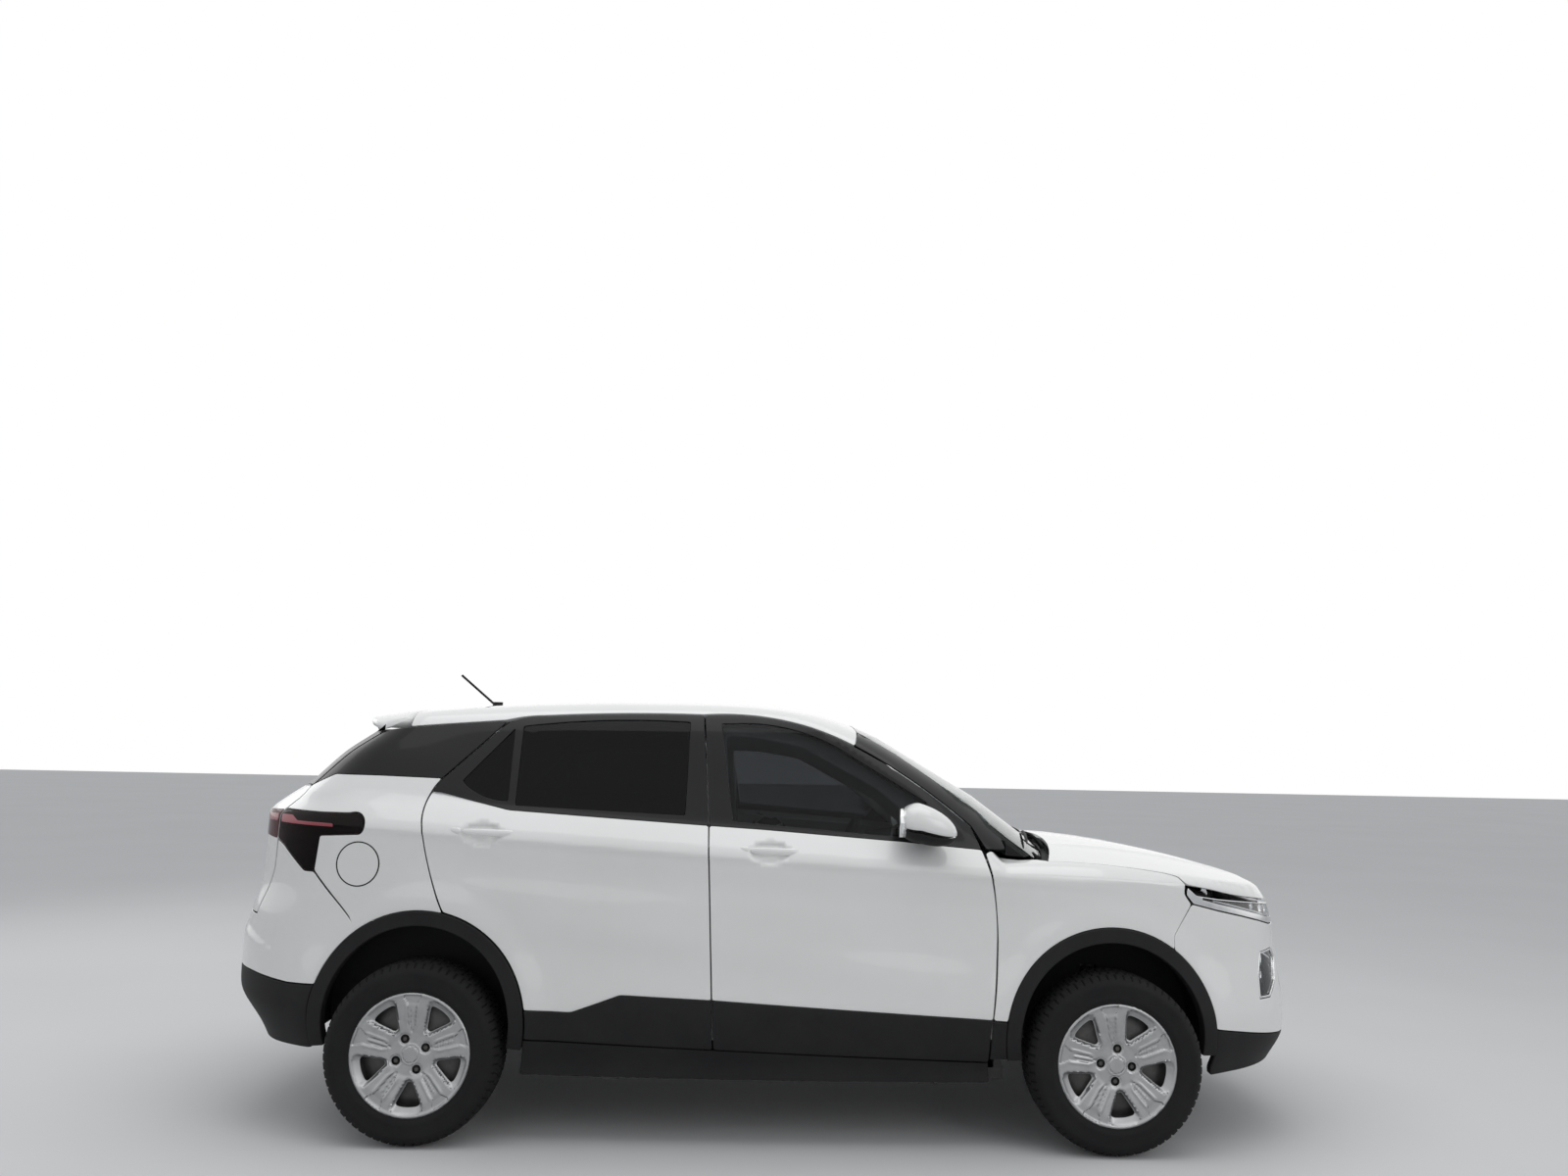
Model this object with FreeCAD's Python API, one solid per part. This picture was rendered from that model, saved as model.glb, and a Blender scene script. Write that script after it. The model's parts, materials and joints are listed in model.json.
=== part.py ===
import FreeCAD, Part
import math
import os
from types import SimpleNamespace

# Five-door compact crossover, millimetres.
# +X is forward, +Y is left, +Z is up; the ground is z = 0 and x = 0 is the middle of the length.

V = FreeCAD.Vector
doc = FreeCAD.newDocument("crossover")
sheet = doc.addObject("Spreadsheet::Sheet", "Sizes")

# name, value, meaning
SIZES = [
    ("front_end", 2110, "x of the foremost point"),
    ("rear_end", -2110, "x of the rearmost point"),
    ("half_width", 870, "half of the body width"),
    ("front_axle", 1260, "x of the front wheel centres"),
    ("rear_axle", -1290, "x of the rear wheel centres"),
    ("axle_height", 320, "height of the wheel centres"),
    ("roof_height", 1624, "top of the roof on the centre line"),
    ("belt_height", 1128, "belt line at mid length"),
    ("crease_height", 1047, "shoulder crease at mid length"),
    ("door_top", 1557, "top of the door frames"),
    ("sill_line", 347, "lower edge of the doors at mid length"),
    ("front_seam", 829, "x of the front door's leading edge"),
    ("middle_seam", -224, "x of the seam between the doors at the waist"),
    ("door_gap", 5, "gap around doors and lids"),
    ("door_wall", 70, "thickness of a door below the belt"),
    ("frame_wall", 36, "thickness of a door frame and a pillar skin"),
    ("frame_step", 8, "step from the door's inner face to the jamb"),
    ("jamb_low", 80, "thickness of the jamb below the belt"),
    ("jamb_high", 40, "thickness of the jamb above the belt"),
    ("skin_wall", 18, "thickness of wings and valances"),
    ("hood_wall", 24, "thickness of the hood"),
    ("bumper_wall", 36, "thickness of the bumper skins"),
    ("glass_wall", 5, "thickness of the glass"),
    ("glass_inset", 5, "depth of the glass below the skin"),
    ("fit", 0.5, "clearance between fixed neighbours"),
    ("arch_outer", 400, "outer radius of the arch cladding"),
    ("arch_inner", 345, "radius of the wheel opening"),
    ("front_arch_height", 400, "height of the front arch centre"),
    ("rear_arch_height", 420, "height of the rear arch centre"),
    ("liner_wall", 14, "thickness of a wheel arch liner"),
    ("cladding_stand", 7, "how far the cladding stands proud"),
    ("tyre_radius", 320, "outer radius of a tyre"),
    ("tyre_width", 205, "width of a tyre"),
    ("wheel_outer", 852, "y of a tyre's outer side"),
    ("rim_radius", 213, "radius of the rim's lips"),
    ("barrel_wall", 8, "thickness of the rim's barrel"),
    ("face_depth", 16, "thickness of the wheel face"),
    ("spoke_rise", 8, "height of the spoke ridges"),
    ("window_count", 5, "openings in the wheel face"),
    ("window_turn", -13, "angle of the first opening in degrees"),
    ("hub_radius", 62, "radius of the wheel's hub plate"),
    ("lug_circle", 57, "radius of the wheel nut circle"),
    ("lug_radius", 18, "radius of a wheel nut recess"),
    ("spindle_radius", 20, "radius of a wheel spindle"),
    ("bearing_fit", 0.4, "clearance of a turning fit"),
    ("steer_offset", 690, "y of the steering axis"),
    ("steer_pin", 9, "radius of a steering pin"),
    ("steer_clear", 7, "clearance of a steered tyre in its arch"),
    ("steer_half", 118, "height of a steering pin above and below the axle"),
    ("hinge_x_front", 740, "x of the front door hinges"),
    ("hinge_y_front", 820, "y of the front door hinges"),
    ("hinge_x_rear", -300, "x of the rear door hinges"),
    ("hinge_y_rear", 838, "y of the rear door hinges"),
    ("hinge_pin", 6, "radius of a door hinge pin"),
    ("hinge_low", 500, "height of the lower door hinges"),
    ("hinge_high", 955, "height of the upper door hinges"),
    ("hinge_reach", 95, "clear radius around a door hinge"),
    ("lid_gap", 7, "gap ahead of the tailgate"),
    ("lid_seam", -1433, "x of the tailgate's leading edge"),
    ("lid_hinge_back", 65, "tailgate hinge behind its leading edge"),
    ("lid_hinge_height", 1548, "height of the tailgate hinge"),
    ("lid_hinge_y", 330, "y of the tailgate hinges"),
    ("lid_low", 775, "lower edge of the tailgate"),
    ("hood_hinge_x", 1022, "x of the hood hinges"),
    ("hood_hinge_height", 1036, "height of the hood hinges"),
    ("hood_hinge_y", 640, "y of the hood hinges"),
    ("hood_half", 738, "y of the hood's side seams"),
    ("floor_height", 215, "underside of the floor"),
    ("floor_wall", 40, "thickness of the floor"),
    ("luggage_floor", 480, "underside of the luggage floor"),
    ("firewall", 850, "x of the bulkhead's rear face"),
    ("pad_size", 60, "side of a jacking pad"),
    ("pad_height", 205, "height of a jacking pad's face"),
    ("seat_width", 500, "width of a front seat"),
    ("seat_spread", 370, "y of the front seats"),
    ("seat_height", 560, "top of the seat cushions"),
    ("wheel_ring", 185, "radius of the steering wheel"),
    ("mirror_reach", 965, "y of a mirror's outer end"),
    ("antenna_radius", 5, "radius of the antenna mast"),
    ("antenna_length", 215, "length of the antenna mast"),
]
for row, (name, value, meaning) in enumerate(SIZES, start=1):
    sheet.set("A%d" % row, name)
    sheet.set("B%d" % row, str(value))
    sheet.setAlias("B%d" % row, name)
    sheet.set("C%d" % row, meaning)
doc.recompute()
s = SimpleNamespace(**{name: float(sheet.get(name)) for name, value, meaning in SIZES})

# Lower body levels, from the ground up.
# height, slope along x, set back from the front end, set in from the rear end,
# set in from the half width, front corner radius, rear corner radius
LOWER_LEVELS = [
    (235, 0, 90, 150, 80, 300, 360),
    (360, 0, 4, 100, 32, 313, 400),
    (480, 0, 0, 6, 14, 313, 400),
    (690, 0, 30, 0, 26, 325, 400),
    (790, 0, 34, 22, 22, 330, 400),
    (890, 0, 62, 70, 14, 330, 380),
    (s.crease_height, -0.058, 90, 72, 8, 330, 330),
    (s.belt_height, -0.06, 120, 185, 64, 300, 260),
    (s.belt_height + 120, -0.06, 150, 375, 165, 260, 200),
]
# Cabin levels: height, slope along x, front x, rear x, half width, front corner, rear corner
CABIN_LEVELS = [
    (s.belt_height - 28, -0.06, 1161, -1931, 815, 150, 200),
    (1300, -0.06, 863, -1738, 718, 140, 150),
    (1500, -0.03, 455, -1529, 634, 120, 130),
    (1575, 0, 250, -1500, 588, 110, 120),
    (1650, 0, 40, -1420, 490, 100, 100),
]
FRONT_BOW = 1600
REAR_BOW = 2300
SIDE_BOW = 16000
SIDE_BOW_X = -50
HOOD_CROWN = 4900
ROOF_CROWN = 5500


def box(x0, x1, y0, y1, z0, z1):
    return Part.makeBox(x1 - x0, y1 - y0, z1 - z0, V(x0, y0, z0))


def rod(start, end, radius):
    a = V(*start)
    b = V(*end)
    return Part.makeCylinder(radius, (b - a).Length, a, b - a)


def mirrored(shape):
    return shape.mirror(V(0, 0, 0), V(0, 1, 0))


def face_of(points, place):
    """Face inside a closed outline; a point of four numbers ends an arc through its first two."""
    edges = []
    here = points[0]
    for point in points[1:] + points[:1]:
        a = place(*here[-2:])
        b = place(*point[-2:])
        if len(point) == 4:
            edges.append(Part.Arc(a, place(*point[:2]), b).toShape())
        else:
            edges.append(Part.LineSegment(a, b).toShape())
        here = point
    return Part.Face(Part.Wire(edges))


def side_prism(points, y0=-1000, y1=-300):
    """Solid seen as points (x, z) from the side."""
    face = face_of(points, lambda x, z: V(x, y0, z))
    return face.extrude(V(0, y1 - y0, 0))


def front_prism(points, x0, x1):
    """Solid seen as points (y, z) from the front."""
    return face_of(points, lambda y, z: V(x0, y, z)).extrude(V(x1 - x0, 0, 0))


def plan_prism(points, z0, z1):
    """Solid seen as points (x, y) from above."""
    return face_of(points, lambda x, y: V(x, y, z0)).extrude(V(0, 0, z1 - z0))


def corner_arc(end_x, end_radius, side_centre, side_radius, radius, way):
    """Three points of the arc tangent to an end bow and a side bow; way is 1 in front, -1 behind."""
    d1 = end_radius - radius
    d2 = side_radius - radius
    dx = SIDE_BOW_X - end_x
    dy = side_centre
    dist = math.hypot(dx, dy)
    along = (d1 * d1 - d2 * d2 + dist * dist) / (2 * dist)
    off = math.sqrt(d1 * d1 - along * along)
    px = end_x + along * dx / dist
    py = along * dy / dist
    cx = px - way * off * dy / dist
    cy = py + way * off * dx / dist
    n1 = math.hypot(cx - end_x, cy)
    n2 = math.hypot(cx - SIDE_BOW_X, cy - side_centre)
    p1 = (end_x + (cx - end_x) / n1 * end_radius, cy / n1 * end_radius)
    p2 = (SIDE_BOW_X + (cx - SIDE_BOW_X) / n2 * side_radius,
          side_centre + (cy - side_centre) / n2 * side_radius)
    mx = (p1[0] + p2[0]) / 2 - cx
    my = (p1[1] + p2[1]) / 2 - cy
    reach = radius / math.hypot(mx, my)
    return p1, (cx + mx * reach, cy + my * reach), p2


def level_wire(height, slope, front, rear, half, front_corner, rear_corner, inset):
    """Closed outline of the body at one level, moved in by the inset."""
    front -= inset
    rear += inset
    half -= inset
    front_radius = FRONT_BOW - inset
    rear_radius = REAR_BOW - inset
    side_radius = SIDE_BOW - inset
    side_centre = half - side_radius
    f1, f2, f3 = corner_arc(front - front_radius, front_radius, side_centre, side_radius,
                            max(front_corner - inset, 20), 1)
    r1, r2, r3 = corner_arc(rear + rear_radius, rear_radius, side_centre, side_radius,
                            max(rear_corner - inset, 20), -1)
    mid_x = (f3[0] + r3[0]) / 2
    mid_y = side_centre + math.sqrt(side_radius ** 2 - (mid_x - SIDE_BOW_X) ** 2)

    def left(p):
        return V(p[0], p[1], 0)

    def right(p):
        return V(p[0], -p[1], 0)

    arcs = [
        (right(f1), V(front, 0, 0), left(f1)),
        (left(f1), left(f2), left(f3)),
        (left(f3), V(mid_x, mid_y, 0), left(r3)),
        (left(r3), left(r2), left(r1)),
        (left(r1), V(rear, 0, 0), right(r1)),
        (right(r1), right(r2), right(r3)),
        (right(r3), V(mid_x, -mid_y, 0), right(f3)),
        (right(f3), right(f2), right(f1)),
    ]
    wire = Part.Wire([Part.Arc(a, b, c).toShape() for a, b, c in arcs])
    if slope:
        wire.rotate(V(0, 0, 0), V(0, 1, 0), -math.degrees(math.atan(slope)))
    wire.translate(V(0, 0, height))
    return wire


def crowned(profile, centre_height, crown, half_angle):
    """Solid of a side-view profile turned about a long axis far below it."""
    face = Part.Face(Part.Wire(profile))
    face.rotate(V(0, 0, centre_height - crown), V(1, 0, 0), -half_angle)
    return face.revolve(V(0, 0, centre_height - crown), V(1, 0, 0), 2 * half_angle)


def chain(points):
    """Edges through points (x, z); a point of four numbers ends an arc."""
    edges = []
    here = points[0]
    for point in points[1:] + points[:1]:
        a = V(here[-2], 0, here[-1])
        b = V(point[-2], 0, point[-1])
        if len(point) == 4:
            edges.append(Part.Arc(a, V(point[0], 0, point[1]), b).toShape())
        else:
            edges.append(Part.LineSegment(a, b).toShape())
        here = point
    return edges


def hood_cap(drop):
    """Everything below the hood's surface."""
    nose = s.front_end
    top = s.crease_height - drop
    back = drop * 0.8
    return crowned(chain([
        (640, top + 280), (860, top + 40), (1500, top + 4, nose - 210, top - 80),
        (nose - 104 - back, top - 134, nose - 46 - back, top - 222), (nose + 200, 300), (nose + 200, 100),
        (s.rear_end - 200, 100), (s.rear_end - 200, 1700), (640, 1700)]), top + 11, HOOD_CROWN, 14)


def roof_cap(drop):
    """Everything below the roof's surface, with the windscreen's header rounded off."""
    top = s.roof_height - drop
    return crowned(chain([
        (-1800, top - 93), (-400, top, -150, top - 3), (180, top - 40, 500, top - 131 - drop * 0.3),
        (1300, 1100), (1300, 900), (s.rear_end - 200, 900), (s.rear_end - 200, top - 93)]),
        top, ROOF_CROWN, 11)


# How far each layer lies inside the skin: below the belt, above the belt, and down from roof and hood
LAYERS = {
    "skin": (0, 0, 0),
    "proud": (-s.cladding_stand, -s.cladding_stand, 0),
    "just_out": (-s.fit, -s.fit, 0),
    "glass_face": (s.glass_inset, s.glass_inset, s.glass_inset),
    "glass_back": (s.glass_inset + s.glass_wall,) * 3,
    "thin": (s.skin_wall, s.skin_wall, s.hood_wall),
    "liner_face": (s.skin_wall + s.fit, s.skin_wall + s.fit, s.hood_wall),
    "bumper_back": (s.bumper_wall, s.bumper_wall, s.bumper_wall),
    "door_back": (s.door_wall, s.frame_wall, s.frame_wall),
    "jamb_face": (s.door_wall + s.frame_step, s.frame_wall + s.frame_step, s.frame_wall + s.frame_step),
}
jamb = LAYERS["jamb_face"]
LAYERS["roof_back"] = (jamb[0] - s.fit, jamb[1] - s.fit, jamb[2] - s.fit)
LAYERS["jamb_back"] = (jamb[0] + s.jamb_low, jamb[1] + s.jamb_high, jamb[2] + s.jamb_high)
LAYERS["inside"] = tuple(depth + s.fit for depth in LAYERS["jamb_back"])

# Parts of the car in which a layer is made, so that each cut stays small
ZONES = {
    "doors": box(-1500, 900, -1000, -350, 0, 1700),
    "right": box(-2300, 2300, -1000, -250, 0, 1700),
    "front": box(700, 2300, -1000, 1000, 0, 1300),
    "rear": box(-2300, -1180, -1000, 1000, 0, 1700),
    "top": box(-1600, 1200, -1000, 1000, 1380, 1700),
    "screen": box(150, 1250, -1000, 1000, 1000, 1700),
    "middle": box(-2300, 1200, -1000, 1000, 0, 1700),
}
made = {}


def body(layer_name, zone):
    """Solid of the body inside one layer's surface, within one zone."""
    if (layer_name, zone) not in made:
        made[layer_name, zone] = body_solid(*LAYERS[layer_name], ZONES[zone])
    return made[layer_name, zone]


def between(outer, inner, zone, region):
    """What lies between two layers inside a region."""
    return body(outer, zone).common(region).cut(body(inner, zone))


def largest(shape):
    return max(shape.Solids, key=lambda solid: solid.Volume)


def cabin_solid(high, cap, room):
    """Cabin above the belt, moved in and down."""
    cabin = Part.makeLoft([level_wire(*row, high) for row in CABIN_LEVELS], True, True)
    return cabin.common(room).common(roof_cap(cap))


def body_solid(low, high, cap, room):
    """Body moved in below the belt, above it, and down from the roof and hood."""
    rows = []
    for height, slope, front, rear, side, front_corner, rear_corner in LOWER_LEVELS:
        rows.append((height, slope, s.front_end - front, s.rear_end + rear, s.half_width - side,
                     front_corner, rear_corner))
    if low > 0:
        rows[0] = (rows[0][0] - 80,) + rows[0][1:]
    lower = Part.makeLoft([level_wire(*row, low) for row in rows], True, True)
    lower = lower.common(room).common(hood_cap(cap))
    return lower.fuse(cabin_solid(high, cap, room))


nodes = []


def add(name, *solids, place=None):
    """One labelled object of the document, and one STEP file, for each node."""
    parts = []
    for shape in solids:
        for solid in shape.Solids:
            if solid.Volume > 500:
                parts.append(solid)
    feature = doc.addObject("Part::Feature", name)
    feature.Shape = parts[0] if len(parts) == 1 else Part.makeCompound(parts)
    if place:
        feature.Placement = FreeCAD.Placement(place, FreeCAD.Rotation())
    feature.Label = name
    nodes.append(feature)
    return feature.Shape


def both(name, shape):
    return add(name, shape, mirrored(shape))


# Side-view outlines of the doors, their apertures and their windows
seam = s.front_seam
mid = s.middle_seam
top = s.door_top
sill = s.sill_line
rear = s.rear_axle
belt = s.belt_height
arch_z = s.rear_arch_height
gap = s.door_gap


def front_door_outline(grow):
    return [
        (seam - 83 + grow, 1152 + grow), (seam - 14 + grow, 935, seam + grow, 756),
        (seam - 7 + grow, 600, seam - 26 + grow, 430), (seam - 32 + grow, sill - 28 - grow),
        (mid + 21 - grow, sill + 7 - grow), (mid - 16 - grow, 1151), (mid - 52 - grow, top + grow),
        (-10, top - 9 + grow, 311, 1445 + grow * 1.3), (540, 1312 + grow * 1.3, seam - 82 + grow, 1152.5 + grow),
    ]


def rear_door_outline(grow):
    reach = s.arch_outer + gap - grow
    low_z = sill + 31 - grow
    low_x = rear + math.sqrt(reach ** 2 - (low_z - arch_z) ** 2)
    end_z = 816
    end_x = rear + math.sqrt(reach ** 2 - (end_z - arch_z) ** 2)
    half = math.sqrt(0.5) * reach
    return [
        (mid - 57 + grow, top + grow), (mid - 21 + grow, 1151), (mid + 16 + grow, sill + 7 - grow),
        (low_x, low_z), (rear + half, arch_z + half, end_x, end_z),
        (rear + 36 - grow, 930, rear - 10 - grow, 1120), (rear - 18 - grow, 1190, rear + 28 - grow, 1295 + grow),
        (rear + 240 - grow, 1508 + grow), (rear + 310, 1535 + grow, rear + 386, 1541 + grow),
        (mid - 360, top - 1 + grow, mid - 58 + grow, top + grow),
    ]


def aperture_front():
    return [
        (seam - 139, sill + 75), (seam - 134, 900), (seam - 189, belt - 18), (400, 1300), (110, 1455),
        (-60, 1492), (mid + 36, 1497), (mid + 59, belt + 22), (mid + 84, sill + 75),
    ]


def aperture_rear():
    return [
        (mid - 106, sill + 75), (mid - 121, belt + 22), (mid - 141, 1497), (-600, 1500), (-860, 1480),
        (-1010, 1430), (rear + 105, 1265), (rear + 70, 1140), (rear + 110, 960), (rear + 190, 880),
        (rear + 330, 760), (rear + 430, 560), (rear + 460, sill + 75),
    ]


def front_window(shrink):
    return [
        (mid - 14 + shrink + 28, 1526 - shrink), (mid + 20 + shrink + 50, 1162 + shrink),
        (seam - 350 - shrink * 2, 1115 + shrink), (seam - 245 - shrink * 2, 1239 - shrink * 0.5),
        (309 - shrink, 1402 - shrink), (100, 1500 - shrink, mid + 60, 1527 - shrink),
    ]


def rear_window(shrink):
    return [
        (mid - 108 - shrink, 1529 - shrink), (mid - 108 - shrink, 1179 + shrink),
        (rear + 318 + shrink, 1204 + shrink), (rear + 308 + shrink, 1501 - shrink),
        (-770, 1524 - shrink, mid - 110 - shrink, 1530 - shrink),
    ]


def quarter_light(shrink):
    return [
        (rear + 276 - shrink, 1492 - shrink * 2), (rear + 104 + shrink * 2.5, 1289 + shrink * 0.2),
        (rear + 180, 1240 + shrink, rear + 289 - shrink, 1218 + shrink),
    ]


def leaning(points, lean, reach=150):
    """Solid drawn inwards and forwards from a flat face."""
    face = Part.Face(Part.makePolygon([V(*point) for point in points] + [V(*points[0])]))
    return face.extrude(V(lean * reach, reach, 0))


def front_door_lean():
    """What the front door's rear face leaves out, so that it swings clear of the rear door."""
    low_z, kink_z, high_z = s.sill_line + 7, 1151, s.door_top
    low_x, kink_x, high_x = s.middle_seam + 21, s.middle_seam - 16, s.middle_seam - 52
    slope_low = (kink_x - low_x) / (kink_z - low_z)
    slope_high = (high_x - kink_x) / (high_z - kink_z)
    crease_x = kink_x + slope_low * (s.crease_height - kink_z)
    out = -s.half_width + 7
    belt = out + 71
    header = belt + 0.473 * (1600 - kink_z)
    back = s.middle_seam - 110
    return [
        leaning([(low_x - slope_low * 60, out, low_z - 60), (crease_x, out, s.crease_height),
                 (back, out, s.crease_height), (back, out, low_z - 60)], 0.15),
        leaning([(crease_x, out, s.crease_height), (kink_x, belt, kink_z), (back, belt, kink_z),
                 (back, out, s.crease_height)], 0.4),
        leaning([(kink_x, belt, kink_z), (kink_x + slope_high * (1600 - kink_z), header, 1600),
                 (back, header, 1600), (back, belt, kink_z)], 0.6),
    ]


def door_with_hinges(outline, windows, hinge_x, hinge_y):
    shape = side_prism(outline(0))
    behind = shape.common(box(-2200, hinge_x + 12, -1000, 0, 0, 1700))
    ahead = shape.common(box(hinge_x + 11, 2200, -1000, 0, 0, 1700))
    door = between("skin", "door_back", "doors", behind)
    door = door.fuse(between("skin", "thin", "doors", ahead))
    for window in windows:
        door = door.cut(side_prism(window(0)))
    knuckles = []
    for height in (s.hinge_low, s.hinge_high):
        notch = box(hinge_x - 26, hinge_x + 30, -hinge_y - 1, -hinge_y + 200, height - 56, height + 56)
        door = door.cut(rod((hinge_x, -hinge_y, height - 56), (hinge_x, -hinge_y, height + 56), 13.5))
        notch = notch.fuse(box(hinge_x + 4, hinge_x + 62, -hinge_y - 15, -hinge_y + 200, height - 56, height + 56))
        door = door.cut(notch)
        web = box(hinge_x - 40, hinge_x, -hinge_y - 7, -hinge_y + 11, height - 34, height + 34)
        barrel = rod((hinge_x, -hinge_y, height - 34), (hinge_x, -hinge_y, height + 34), 11)
        knuckles.append(web.fuse(barrel).common(body("skin", "doors")))
    for knuckle in knuckles:
        door = door.fuse(knuckle)
    for height in (s.hinge_low, s.hinge_high):
        bore = s.hinge_pin + s.bearing_fit
        door = door.cut(rod((hinge_x, -hinge_y, height - 60), (hinge_x, -hinge_y, height + 60), bore))
    return door


def door_bracket(hinge_x, hinge_y, height):
    """Two plates and a pin that carry one door knuckle."""
    reach = rod((hinge_x, -hinge_y, height - 60), (hinge_x, -hinge_y, height + 60), s.hinge_reach - s.fit)
    plates = []
    for low in (height - 46, height + 36):
        plate = box(hinge_x - 10, hinge_x + 10, -hinge_y, -hinge_y + 120, low, low + 10)
        plate = plate.fuse(rod((hinge_x, -hinge_y, low), (hinge_x, -hinge_y, low + 10), 10))
        plates.append(plate.common(reach))
    back = box(hinge_x - 10, hinge_x + 10, -hinge_y + 78, -hinge_y + 120, height - 46, height + 46)
    pin = rod((hinge_x, -hinge_y, height - 46), (hinge_x, -hinge_y, height + 46), s.hinge_pin)
    return plates[0].fuse([plates[1], back.common(reach), pin])


def glass(window, cut):
    """Pane that fills a window."""
    return largest(between("glass_face", "glass_back", "doors", cut(window(s.fit))))


# Doors
for name, outline, windows, hinge_x, hinge_y in (
        ("front", front_door_outline, [front_window], s.hinge_x_front, s.hinge_y_front),
        ("rear", rear_door_outline, [rear_window, quarter_light], s.hinge_x_rear, s.hinge_y_rear)):
    door = door_with_hinges(outline, windows, hinge_x, hinge_y)
    if name == "front":
        for lean in front_door_lean():
            door = door.cut(lean)
    add("door_%s_right" % name, door)
    add("door_%s_left" % name, mirrored(door))
    panes = [glass(window, side_prism) for window in windows]
    add("glass_%s_right" % name, *panes)
    add("glass_%s_left" % name, *[mirrored(pane) for pane in panes])

brackets = []
for hinge_x, hinge_y in ((s.hinge_x_front, s.hinge_y_front), (s.hinge_x_rear, s.hinge_y_rear)):
    for height in (s.hinge_low, s.hinge_high):
        brackets.append(door_bracket(hinge_x, hinge_y, height))
add("door_hinges", *brackets, *[mirrored(bracket) for bracket in brackets])


# Tailgate opening, seen from behind
def lid_outline(grow):
    low = s.lid_low - grow
    return [
        (-560 - grow, 1700), (-545 - grow, 1486), (-612 - grow, 1265), (-642 - grow, 1170),
        (-642 - grow, 950), (-600 - grow, low), (600 + grow, low), (642 + grow, 950),
        (642 + grow, 1170), (612 + grow, 1265), (545 + grow, 1486), (560 + grow, 1700),
    ]


lid_hole = front_prism(lid_outline(gap), s.rear_end - 100, s.lid_seam + s.lid_gap)
arch_cuts = []
liners = []
for axle, height, inner_y in ((s.front_axle, s.front_arch_height, 452), (s.rear_axle, s.rear_arch_height, 548)):
    arch_cuts.append(rod((axle, -1000, height), (axle, -inner_y, height), s.arch_outer + s.fit))
arch_hole = arch_cuts[0].fuse(arch_cuts[1])

# Body sides: jambs behind the doors, joined to the outer skins around them
ring = between("jamb_face", "jamb_back", "right", side_prism([
    (855, 236), (855, 1085), (840, 1140), (790, 1206), (485, 1419), (300, 1700), (-1900, 1700),
    (-1960, 1180), (-1800, 980), (-1700, 960), (-1600, 236)], y1=-400))
ring = ring.cut(side_prism(aperture_front()))
ring = ring.cut(side_prism(aperture_rear()))
for hinge_x, hinge_y in ((s.hinge_x_front, s.hinge_y_front), (s.hinge_x_rear, s.hinge_y_rear)):
    ring = ring.cut(rod((hinge_x, -hinge_y, 307), (hinge_x, -hinge_y, 1240), s.hinge_reach))
pillar_strip = side_prism([
    (312, 1445 + gap * 1.3), (540, 1312 + gap * 1.3, seam - 83 + gap, 1152 + gap), (seam + 20, 1075), (850, 1135),
    (790, 1206), (485, 1419), (328, 1504)])
quarter = side_prism([
    (rear - 10 - gap, 1120.5), (rear - 18 - gap, 1190, rear + 28 - gap, 1295 + gap),
    (rear + 240 - gap, 1508 + gap), (rear + 236, 1523.5), (s.lid_seam - 20, 1489), (-1900, 1486), (-1960, 1172),
    (-1584, 1167), (-1517, 1125, -1535, 1087), (-1690, 1079), (-1704.3, 953.5), (-1553, 792),
    (rear - 180, arch_z + 300), (rear - 100, 780), (rear + 64, 816),
    (rear + 36 - gap, 930, rear - 10 - gap, 1120)])
rocker = side_prism([(seam - 20, sill - 34), (seam - 20, 300), (rear + 380, 300), (rear + 380, sill + 24),
                     (mid + 20, sill + 1)], y1=-500)
side = ring
for region in (pillar_strip, quarter, rocker):
    side = side.fuse(between("skin", "jamb_face", "right", region))
side = largest(side.cut(arch_hole).cut(lid_hole))
add("body_side_right", side)
add("body_side_left", mirrored(side))

# Roof, wings and hood
roof_region = side_prism([
    (311.4, 1445 + gap * 1.3), (-10, top - 9 + gap, mid - 52 - gap, top + gap), (mid - 64, top + gap),
    (mid - 360, top - 1 + gap, rear + 386, 1541 + gap), (rear + 310, 1535 + gap, rear + 236, 1524),
    (s.lid_seam + s.lid_gap, 1492), (s.lid_seam + s.lid_gap, 1700), (327.4, 1700), (327.4, 1505)], y1=1000)
roof = between("skin", "roof_back", "top", roof_region)
roof = roof.cut(box(200, 330, -520, 520, 1400, 1506))
add("roof_panel", largest(roof))


def hood_outline(grow):
    half = s.hood_half + grow
    nose = s.front_end - 55 + grow
    return [
        (1040 - grow, -half), (1505, -half + 3), (1600 + grow, -half + 14),
        (1790 + grow, -668 - grow, 1925 + grow, -540 - grow), (nose, 0, 1925 + grow, 540 + grow),
        (1790 + grow, 668 + grow, 1600 + grow, half - 14), (1505, half - 3), (1040 - grow, half),
        (1150 - grow, 0, 1039 - grow, -half),
    ]


hood = largest(between("skin", "thin", "front", plan_prism(hood_outline(0), 780, 1290)))
hood_hole = plan_prism(hood_outline(gap), 700, 1500)
lamp_line = [(1535, 931), (1797, 815), (2010, 774), (2200, 745)]
wing = between("skin", "thin", "front", side_prism([
    (seam + gap, 756), (seam + gap - 7, 600, seam + gap - 26, 430), (seam + gap - 32, sill - 30), (880, sill - 30),
    (880, 300), (1499.2, 300), (1499.2, 770), (1559, 900), (1537, 930), (1539.5, 1200), (1000, 1200),
    (1000, 1120), (seam + 27, 1078), (seam + 21, 1073), (seam + gap - 40, 1059),
    (seam + gap - 14, 935, seam + gap + 0.1, 755.5)], y1=-700))
both("front_wings", largest(wing.cut(hood_hole).cut(arch_hole)))

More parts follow.
